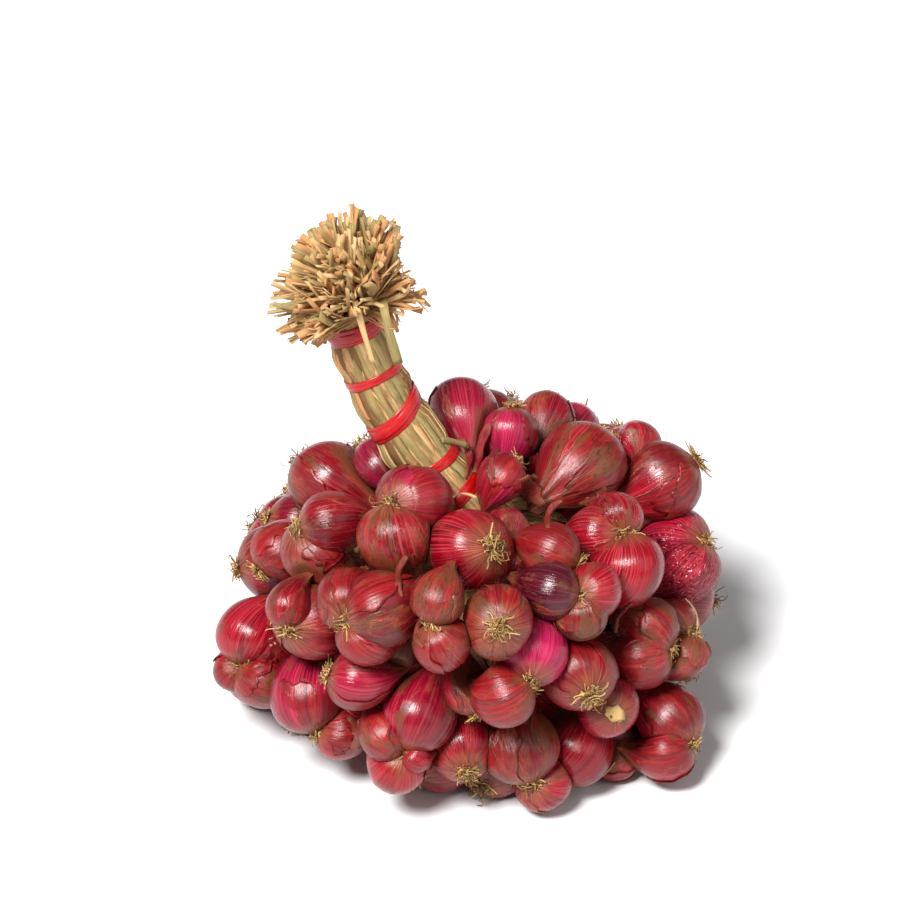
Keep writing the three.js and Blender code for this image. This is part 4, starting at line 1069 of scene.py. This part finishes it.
def ball(segments, rings):
    """Place along, angle and faces of a ball's corners, its poles at root and neck."""
    corners, faces = master(lambda: bpy.ops.mesh.primitive_uv_sphere_add(segments=segments, ring_count=rings, radius=1))
    polar = np.arccos(np.clip(-corners[:, 2], -1, 1))
    t = 0.62 * (1 - np.cos(polar)) / 2 + 0.38 * polar / math.pi
    return t, np.arctan2(corners[:, 1], corners[:, 0]), faces


def stem_sleeves():
    """Corners of the stem's lower stretches, which the bulbs keep off."""
    sleeves = []
    angle = np.linspace(0, 2 * math.pi, SLEEVE_SIDES, endpoint=False)
    for start, end in SLEEVES:
        rings = []
        for along in (start, (start + end) / 2, end):
            radius = mix(STEM_RADIUS_FOOT, STEM_RADIUS_TOP, along) + STEM_BULGE + SLEEVE_MARGIN
            rings.append(stem_point(np.full(SLEEVE_SIDES, along), angle, np.full(SLEEVE_SIDES, radius),
                                    np.zeros(SLEEVE_SIDES)))
        sleeves.append(np.concatenate(rings))
    return sleeves


def stem_leaves(gathered, count):
    """Flat leaves laid side by side along the stem, pinched in under each tie."""
    stations = 46
    along = np.linspace(-0.01, 0.985, stations)
    lines, across, width, tints = blank_strips(count, stations)
    ring, slant = stem_ring(along)
    loose = np.clip((ring - mix(STEM_RADIUS_FOOT, STEM_RADIUS_TOP, along)) / STEM_BULGE, 0, 1)
    for k in range(count):
        a, b, c, d, e, g = draws(k + 1, 60, 6)
        angle = (2 * math.pi * (k + 0.7 * (a - 0.5)) / count + 0.16 * (along - 0.5) * mix(-1, 1, b) + 0.5 * along
                 + 0.035 * np.sin(along * mix(4, 11, c) + ANY_TURN * d))
        if k % 5 < 2:
            angle = angle + 0.16 * np.sin(along * mix(5, 9, g) + ANY_TURN * e) * loose
        deep = 0.5 + (k % 3) * 0.42 * loose + loose * 0.5 * np.sin(along * mix(6, 16, e) + ANY_TURN * g)
        lines[k] = stem_point(along, angle, ring - deep, slant)
        across[k] = (stem_point(along, angle + 0.05, ring - deep, slant) - stem_point(along, angle - 0.05, ring - deep, slant)
                     + 0.4 * (a - 0.3) * unit(lines[k] - bezier(STEM, along)) * loose[:, None])
        wide = mix(0.9, 1.9, d) if k % 5 < 2 else mix(2.4, 6.2, c * d)
        width[k] = wide * (1 + 0.22 * np.sin(along * mix(5, 13, g) + ANY_TURN * b))
        tints[k] = (b, 0.15 + d * 0.85, 0.25 + e * 0.95)
    ribbons(gathered, lines, across, np.full((count, stations), 0.8), width, tints)


def tube(gathered, along, radius, slant, sides, tint):
    """A plain closed round body along the stem."""
    angle = np.linspace(0, 2 * math.pi, sides, endpoint=False)
    corners = np.stack([stem_point(np.full(sides, a), angle, np.full(sides, r), np.full(sides, s))
                        for a, r, s in zip(along, radius, slant)])
    grain = np.empty((len(along), sides, 3))
    grain[..., 0] = angle * 14
    grain[..., 1] = (np.asarray(along) * STEM_LENGTH)[:, None]
    grain[..., 2] = 0
    gathered.add(corners.reshape(-1, 3), loft_faces(len(along), sides), grain.reshape(-1, 3), tint)


def leaf_core(gathered):
    """The leaves' splayed foot inside the heap, in folds that fan out from the stem."""
    corners, faces = master(lambda: bpy.ops.mesh.primitive_uv_sphere_add(segments=112, ring_count=44, radius=1))
    angle = np.arctan2(corners[:, 1], corners[:, 0])
    fold = 1 + 0.045 * np.cos(7 * angle) + 0.02 * np.cos(23 * angle + 1.3) + 0.012 * np.cos(51 * angle + 4.1)
    placed = corners * np.stack([fold, fold, 0.5 + 0.5 * fold], axis=1) * CORE_RADII * 0.97 + CORE_CENTRE
    grain = np.stack([angle * 30, corners[:, 2] * 40, corners[:, 2]], axis=1)
    gathered.add(placed, faces, grain, (0.8, 0.3, 0.9))


# Reach of the brush in the picture, in pixels from its root, at each angle up from the right
BRUSH_ROOT = picture_point(366, 303, 80)
BRUSH_OUTLINE = [
    (0, 66), (20, 54), (45, 50), (57, 70), (68, 84), (80, 86), (90, 93), (100, 95), (112, 91), (122, 89),
    (133, 88), (150, 97), (163, 98), (175, 101), (191, 95), (203, 90), (219, 78), (228, 44), (240, 24),
    (270, 15), (300, 17), (316, 46), (332, 46), (344, 50), (350, 70), (360, 66),
]


def core_leaves(gathered, count):
    """Flat leaves that run from the stem over the core, between the bulbs' roots."""
    stations = 22
    lines, across, width, tints = blank_strips(count, stations)
    u = np.linspace(0, 1, stations)
    for k in range(count):
        a, b, c, d = draws(k + 1, 140, 4)
        angle = 2 * math.pi * (k + 0.6 * a) / count + 0.16 * np.sin(u * mix(3, 8, b) + ANY_TURN * c)
        polar = mix(0.06, mix(2.0, 2.7, d), u)
        shape = np.stack([np.cos(angle) * np.sin(polar), np.sin(angle) * np.sin(polar), np.cos(polar)], axis=1)
        wave = 0.6 * np.sin(u * mix(9, 17, a) + ANY_TURN * d)
        lines[k] = shape * (CORE_RADII * mix(0.985, 1.0, b) + wave[:, None]) + CORE_CENTRE
        across[k] = np.cross(np.gradient(lines[k], axis=0), shape)
        width[k] = mix(3.5, 9.5, c) * np.sin(math.pi * (0.12 + 0.8 * u))
        tints[k] = (b, d * 0.8, 0.35 + a * 0.8)
    ribbons(gathered, lines, across, np.full((count, stations), 0.7), width, tints)


def brush_blades(gathered, count, reach, wide):
    """Cut leaf ends that fan out of the neck above the top tie, in every direction but the stem's."""
    heading = unit(picture_vector(*BRUSH_HEADING))
    side = unit(np.cross(heading, UP))
    rise = np.cross(side, heading)
    neck = bezier(STEM, 0.95)
    stations = 9
    u = np.linspace(0, 1, stations)
    lines, across, width, tints = blank_strips(count, stations)
    for k in range(count):
        a, b, c, d, e, g, h, i = draws(k + 1, 80, 8)
        turn = k * GOLDEN_TURN + 1.6 * a
        out = math.sqrt((k + 0.5) / count)
        lean = math.radians(118) * out * mix(0.75, 1.15, b)
        radial = side * math.cos(turn) + rise * math.sin(turn)
        way = heading * math.cos(lean) + radial * math.sin(lean)
        swing = ANY_TURN * d
        over = unit(unit(np.cross(way, SKEW)) * math.cos(swing) + np.cross(way, unit(np.cross(way, SKEW))) * math.sin(swing)
                    + radial * 0.3 - UP * 0.35 * out)
        tip_way = unit(way + over * mix(0.05, 1.15, e * e))
        bearing = math.degrees(math.atan2(tip_way @ UP, tip_way @ RIGHT)) % 360
        if 228 < bearing < 312 and math.hypot(tip_way @ RIGHT, tip_way @ UP) > 0.25:
            tip_way, way = (unit(w - 1.9 * UP * (tip_way @ UP)) for w in (tip_way, way))
        elif (bearing > 300 or bearing < 52) and i < 0.62:
            tip_way, way = (unit(w - 1.8 * RIGHT * (tip_way @ RIGHT) + UP * 0.1) for w in (tip_way, way))
        bearing = math.degrees(math.atan2(tip_way @ UP, tip_way @ RIGHT)) % 360
        limit = np.interp(bearing, *np.array(BRUSH_OUTLINE).T) * MM_PER_PIXEL
        length = reach * mix(mix(0.6, 0.85, out), mix(0.95, 1.3, out), c)
        length = min(length, limit * mix(0.76, 1.0, c) / max(math.hypot(tip_way @ RIGHT, tip_way @ UP), 0.05))
        start = mix(neck, BRUSH_ROOT, 0.5) + radial * out * 8
        knee = BRUSH_ROOT + radial * out * 5 + way * length * 0.5
        tip = BRUSH_ROOT + tip_way * length
        width_way = unit(np.cross(way, over))
        bend = np.sin(u * mix(2, 6, g)) * u * mix(-3.6, 3.6, h)
        lines[k] = bezier([start, knee, tip], u) + np.cross(width_way, way) * bend[:, None]
        twist = mix(-0.7, 0.7, g) * u * 2 + mix(-0.9, 0.9, i)
        across[k] = width_way * np.cos(twist)[:, None] + np.cross(width_way, way) * np.sin(twist)[:, None]
        right_side = bearing > 300 or bearing < 52
        curl = np.sin(u * mix(3, 8, b)) * u**1.5 * mix(-5, 5, a) if right_side else 0 * u
        lines[k] += width_way * curl[:, None]
        width[k] = wide * mix(0.42, 1.3, i * d + 0.3 * a) * (0.8 + 0.2 * u - 0.12 * np.sin(7 * u + ANY_TURN * b))
        width[k] *= 0.62 if right_side else 1
        tints[k] = (a, g * mix(0.75, 0.95, out) * (0.6 if right_side else 1), d * mix(1.05, 0.7, c))
    ribbons(gathered, lines, across, np.full((count, stations), 0.6), width, tints)


class BUNCH_OT_leaves(bpy.types.Operator):
    """Make the leaf stem, its foot inside the heap and the cut brush"""

    bl_idname = "bunch.leaves"
    bl_label = "Leaves"

    def execute(self, context):
        sizes = context.scene.bunch_sizes
        gathered = Gathered()
        leaf_core(gathered)
        along = np.linspace(-0.05, 0.97, 60)
        ring, slant = stem_ring(along)
        # The stem's inner body is tinted dark brown: it stands partly for the inner leaves, and partly it is painted
        # shade for the gaps between the outer leaves
        tube(gathered, along, ring - 1.7, slant, 36, (1.0, 0.5, 1.3))
        core_leaves(gathered, sizes.strip_count * 2 // 3)
        stem_leaves(gathered, sizes.strip_count)
        brush_blades(gathered, sizes.blade_count, sizes.blade_reach / MM, sizes.blade_width / MM)
        settle(gathered.make("dried_leaves", [straw_finish(context.scene.bunch_look)]), "straw", "leaf_bundle")
        return {"FINISHED"}


def band(gathered, along, width, slant, inner, number):
    """One wrap of flat ribbon with rounded edges, closed round the stem."""
    rounds = 132
    angle = np.linspace(0, 2 * math.pi, rounds, endpoint=False)
    half = width / 2
    section = [(0.0, -half), (0.32, -half * 0.97), (0.42, -half * 0.7), (0.46, 0.0), (0.42, half * 0.7), (0.32, half * 0.97),
               (0.0, half), (0.05, 0.0)]
    a, b, c = draws(number, 95, 3)
    wave = 0.10 * np.sin(5 * angle + ANY_TURN * a) + 0.07 * np.sin(9 * angle + ANY_TURN * b)
    drift = 0.35 * np.sin(2 * angle + ANY_TURN * c) + 0.2 * np.sin(3 * angle + ANY_TURN * a)
    corners = np.stack([stem_point(along + (at * (1 + 0.1 * wave) + drift) / STEM_LENGTH, angle,
                                   inner + rise + wave + 0.12, np.full(rounds, slant)) for rise, at in section], axis=1)
    sides = len(section)
    faces = [(i * sides + j, i * sides + (j + 1) % sides, (i + 1) % rounds * sides + (j + 1) % sides, (i + 1) % rounds * sides + j)
             for i in range(rounds) for j in range(sides)]
    grain = np.empty((rounds, sides, 3))
    grain[..., 0] = np.abs(angle - math.pi)[:, None] * 15 + number * 50
    grain[..., 1] = np.array([at for _, at in section])[None]
    grain[..., 2] = 0
    gathered.add(corners.reshape(-1, 3), faces, grain.reshape(-1, 3), (a, b, c))


class BUNCH_OT_ties(bpy.types.Operator):
    """Make the wraps of the five ribbon ties"""

    bl_idname = "bunch.ties"
    bl_label = "Ties"

    def execute(self, context):
        finish = ribbon_finish(context.scene.bunch_look)
        for number, (along, width, slant) in enumerate(TIES):
            gathered = Gathered()
            inner = mix(STEM_RADIUS_FOOT, STEM_RADIUS_TOP, along)
            wraps = 3 if width > 4.8 else 2
            for wrap in range(wraps):
                shift = (wrap - (wraps - 1) / 2) * width * (0.32 if wraps == 3 else 0.56)
                lean = slant + 0.05 * (scatter(number * 5 + wrap, 91) - 0.5)
                order = (wrap * 2) % wraps
                band(gathered, along + shift / STEM_LENGTH, width * 0.74, lean, inner + 0.1 + 0.2 * order,
                     number * 5 + wrap + 1)
            piece = gathered.make(f"ribbon_{number + 1}", [finish])
            face_outwards(piece)
            settle(piece, "ribbon", f"tie_{number + 1}")
        return {"FINISHED"}


def face_outwards(obj):
    """Recalculates the faces' directions, as by hand."""
    bpy.ops.object.select_all(action="DESELECT")
    obj.select_set(True)
    bpy.context.view_layer.objects.active = obj
    bpy.ops.object.mode_set(mode="EDIT")
    bpy.ops.mesh.select_all(action="SELECT")
    bpy.ops.mesh.normals_make_consistent(inside=False)
    bpy.ops.object.mode_set(mode="OBJECT")


# Loose straws by three picture points, width in pixels and tint; the first two hang from the brush
LOOSE_STRAWS = [
    ((358, 306), (366, 335), (375, 366), 6, (0.1, 0.1, 0.1)),
    ((384, 302), (391, 335), (400, 366), 9, (0.3, 0.9, 0.2)),
    ((442, 440), (454, 442), (467, 446), 6, (0.4, 0.8, 0.1)),
    ((476, 497), (464, 493), (453, 496), 2.4, (0.4, 0.3, 0.3)),
    ((684, 598), (695, 613), (694, 632), 1.8, (0.0, 0.0, 0.1)),
    ((614, 760), (607, 769), (599, 777), 1.3, (0.5, 0.2, 0.4)),
]

# Scraps of dry skin caught between bulbs, in the same way
LOOSE_SKINS = [
    ((489, 424), (479, 446), (473, 472), 11, (1.0, 0.1, 0.3)),
    ((461, 440), (468, 455), (464, 478), 8, (0.9, 0.6, 0.3)),
    ((498, 448), (491, 462), (493, 478), 8, (0.8, 0.5, 0.0)),
    ((408, 553), (399, 572), (404, 592), 8, (1.0, 1.2, -0.4)),
    ((452, 684), (461, 694), (460, 708), 8, (1.0, 0.8, 0.1)),
    ((350, 712), (360, 727), (354, 745), 11, (1.0, 1.1, 0.0)),
    ((536, 703), (529, 724), (540, 748), 5, (1.0, 1.4, -0.4)),
    ((604, 486), (594, 497), (577, 503), 7, (0.8, 0.9, 0.0)),
    ((322, 590), (330, 604), (326, 620), 7, (0.8, 1.1, -0.2)),
    ((628, 600), (616, 612), (612, 630), 6, (1.0, 0.9, 0.0)),
    ((424, 612), (418, 628), (424, 640), 7, (0.9, 1.2, -0.3)),
    ((519, 478), (528, 492), (540, 506), 22, (0.9, 0.8, -0.2)),
    ((521, 496), (530, 487), (537, 476), 16, (0.9, 1.1, -0.4)),
    ((560, 500), (548, 510), (546, 526), 7, (0.9, 0.9, 0.1)),
]


# Stations of a loose strip, its lift off the surface, and how far it may sink behind its nearest point
DRAPE_STATIONS = 14
DRAPE_LIFT = 0.5
DEEPEST_DRAPE = 15.0
# A straw wider than this, in pixels, is stiff and bridges the hollows under it
STIFF_STRAW = 5


class Front:
    """The surface that shows from the front, found by rays from the camera's side."""

    def __init__(self):
        graph = bpy.context.evaluated_depsgraph_get()
        makes = ("bulbs_", "dried_leaves", "ribbon_")
        self.trees = [BVHTree.FromObject(obj, graph) for obj in bpy.context.scene.objects if obj.name.startswith(makes)]

    def depth(self, across, down):
        """Millimetres towards the camera of the surface behind a picture point."""
        start = Vector((picture_point(across, down, 400) + SHIFT) * MM)
        hits = (tree.ray_cast(start, Vector(-NEAR)) for tree in self.trees)
        found = [distance for _, _, _, distance in hits if distance is not None]
        return 400 - min(found) / MM if found else None

    def drape(self, ends, rounds):
        """A line through three picture points that lies on the surface and bridges its hollows."""
        ends = np.array(ends, float)
        u = np.linspace(0, 1, DRAPE_STATIONS)
        control = [ends[0], 2 * ends[1] - (ends[0] + ends[2]) / 2, ends[2]]
        flat = bezier(control, u)
        found = [self.depth(*point) for point in flat]
        least = min(d for d in found if d is not None)
        depths = np.array([least if d is None else d for d in found])
        depths = np.maximum(depths, depths.max() - DEEPEST_DRAPE)
        taut = depths.copy()
        for _ in range(rounds):
            taut[1:-1] = np.maximum(depths[1:-1], (taut[:-2] + taut[2:]) / 2)
        return np.array([picture_point(x, y, near + DRAPE_LIFT) for (x, y), near in zip(flat, taut)])


class BUNCH_OT_loose(bpy.types.Operator):
    """Lay loose straws and scraps of skin on the bunch"""

    bl_idname = "bunch.loose"
    bl_label = "Loose Straws and Skins"

    def execute(self, context):
        look = context.scene.bunch_look
        front = Front()
        for name, slot, rows, thick, section, finish in (
                ("loose_straws", "straw", LOOSE_STRAWS, 0.5, LEAF_SECTION, straw_finish(look, "loose_straw")),
                ("loose_skins", "skin_rose", LOOSE_SKINS, 1.0, CURLED_SECTION, skin_finish(look, "loose_skin"))):
            gathered = Gathered()
            straw = slot == "straw"
            lines = np.stack([front.drape(row[:3], 60 if straw and row[3] > STIFF_STRAW else 6) for row in rows])
            u = np.linspace(0, 1, lines.shape[1])
            drawn = np.array([draws(k + 1, 130, 3) for k in range(len(rows))])
            width = np.array([row[3] * MM_PER_PIXEL for row in rows])[:, None]
            if straw:
                width = width * (1 + 0.1 * np.sin(7 * u + 6 * drawn[:, :1]))
            else:
                tapered = width * (0.35 + 0.65 * np.sin(math.pi * (0.12 + 0.76 * u)))
                width = tapered * (1 + 0.2 * np.sin(11 * u + 6 * drawn[:, :1]))
            way = np.gradient(lines, axis=1)
            flat = unit(np.cross(way, NEAR))
            twist = (drawn[:, 1:2] - 0.5) * 0.9 + (drawn[:, 2:] - 0.5) * u * 1.2
            across = flat * np.cos(twist)[..., None] + NEAR * np.sin(twist)[..., None]
            tints = [row[4] for row in rows]
            ribbons(gathered, lines, across, np.full(width.shape, thick), width, tints, section=section)
            piece = gathered.make(name, [finish])
            face_outwards(piece)
            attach(piece, "root")
        return {"FINISHED"}


# The stage: sizes in metres, the lights' places in millimetres and their spread in degrees
FLOOR_SIZE = 60
SKY_STRENGTH = 0.2
KEY_PLACE, KEY_SPREAD = vec(-760, -1150, 1900), 20
FILL_PLACE, FILL_SPREAD, FILL_SHARE = vec(1500, -1100, 1300), 50, 0.12
PICTURE_SIZE = 900
LENS, SENSOR = 300.0, 36.0


def soft_light(name, place, strength, spread):
    """A large soft light far off on one side, which falls evenly on the heap and the floor."""
    data = bpy.data.lights.new(name, "SUN")
    data.energy = strength
    data.angle = math.radians(spread)
    lamp = bpy.data.objects.new(name, data)
    lamp.location = Vector(place * MM)
    lamp.rotation_euler = (-lamp.location).to_track_quat("-Z", "Y").to_euler()
    bpy.context.collection.objects.link(lamp)


class BUNCH_OT_stage(bpy.types.Operator):
    """Make the floor, the lights and the camera"""

    bl_idname = "bunch.stage"
    bl_label = "Stage"

    def execute(self, context):
        bpy.ops.object.select_all(action="DESELECT")
        bpy.ops.mesh.primitive_plane_add(size=FLOOR_SIZE)
        floor = context.object
        floor.name = "floor"
        floor.data.materials.append(floor_finish())
        world = bpy.data.worlds.new("studio")
        world.use_nodes = True
        world.node_tree.nodes["Background"].inputs["Color"].default_value = (1, 1, 1, 1)
        world.node_tree.nodes["Background"].inputs["Strength"].default_value = SKY_STRENGTH
        context.scene.world = world
        context.scene.view_settings.view_transform = "Standard"
        power = context.scene.bunch_sizes.light_power
        soft_light("key_light", KEY_PLACE, power, KEY_SPREAD)
        soft_light("fill_light", FILL_PLACE, power * FILL_SHARE, FILL_SPREAD)
        distance = PICTURE_SIZE * MM_PER_PIXEL * LENS / SENSOR
        middle = picture_point(PICTURE_SIZE / 2, PICTURE_SIZE / 2, 0) + SHIFT
        data = bpy.data.cameras.new("camera")
        data.lens, data.sensor_width = LENS, SENSOR
        data.clip_start, data.clip_end = 0.1, 30
        camera = bpy.data.objects.new("camera", data)
        camera.location = Vector((middle + NEAR * distance) * MM)
        camera.rotation_euler = Vector(-NEAR).to_track_quat("-Z", "Y").to_euler()
        context.collection.objects.link(camera)
        context.scene.camera = camera
        return {"FINISHED"}


class BUNCH_PT_panel(bpy.types.Panel):
    """Sidebar panel of the bunch"""

    bl_label = "Shallot Bunch"
    bl_idname = "BUNCH_PT_panel"
    bl_space_type = "VIEW_3D"
    bl_region_type = "UI"
    bl_category = "Bunch"

    def draw(self, context):
        for group in (context.scene.bunch_sizes, context.scene.bunch_look):
            for label in group.__annotations__:
                self.layout.prop(group, label)
        for operator in OPERATORS:
            self.layout.operator(operator.bl_idname)


OPERATORS = (BUNCH_OT_shallots, BUNCH_OT_leaves, BUNCH_OT_ties, BUNCH_OT_loose, BUNCH_OT_stage)
CLASSES = (BunchLook, BunchSizes, *OPERATORS, BUNCH_PT_panel)


def register():
    for each in CLASSES:
        bpy.utils.register_class(each)
    bpy.types.Scene.bunch_look = PointerProperty(type=BunchLook)
    bpy.types.Scene.bunch_sizes = PointerProperty(type=BunchSizes)


def unregister():
    del bpy.types.Scene.bunch_look
    del bpy.types.Scene.bunch_sizes
    for each in reversed(CLASSES):
        bpy.utils.unregister_class(each)


def main():
    register()
    bpy.ops.bunch.shallots()
    bpy.ops.bunch.leaves()
    bpy.ops.bunch.ties()
    bpy.ops.bunch.loose()
    bpy.ops.bunch.stage()


if __name__ == "__main__":
    main()
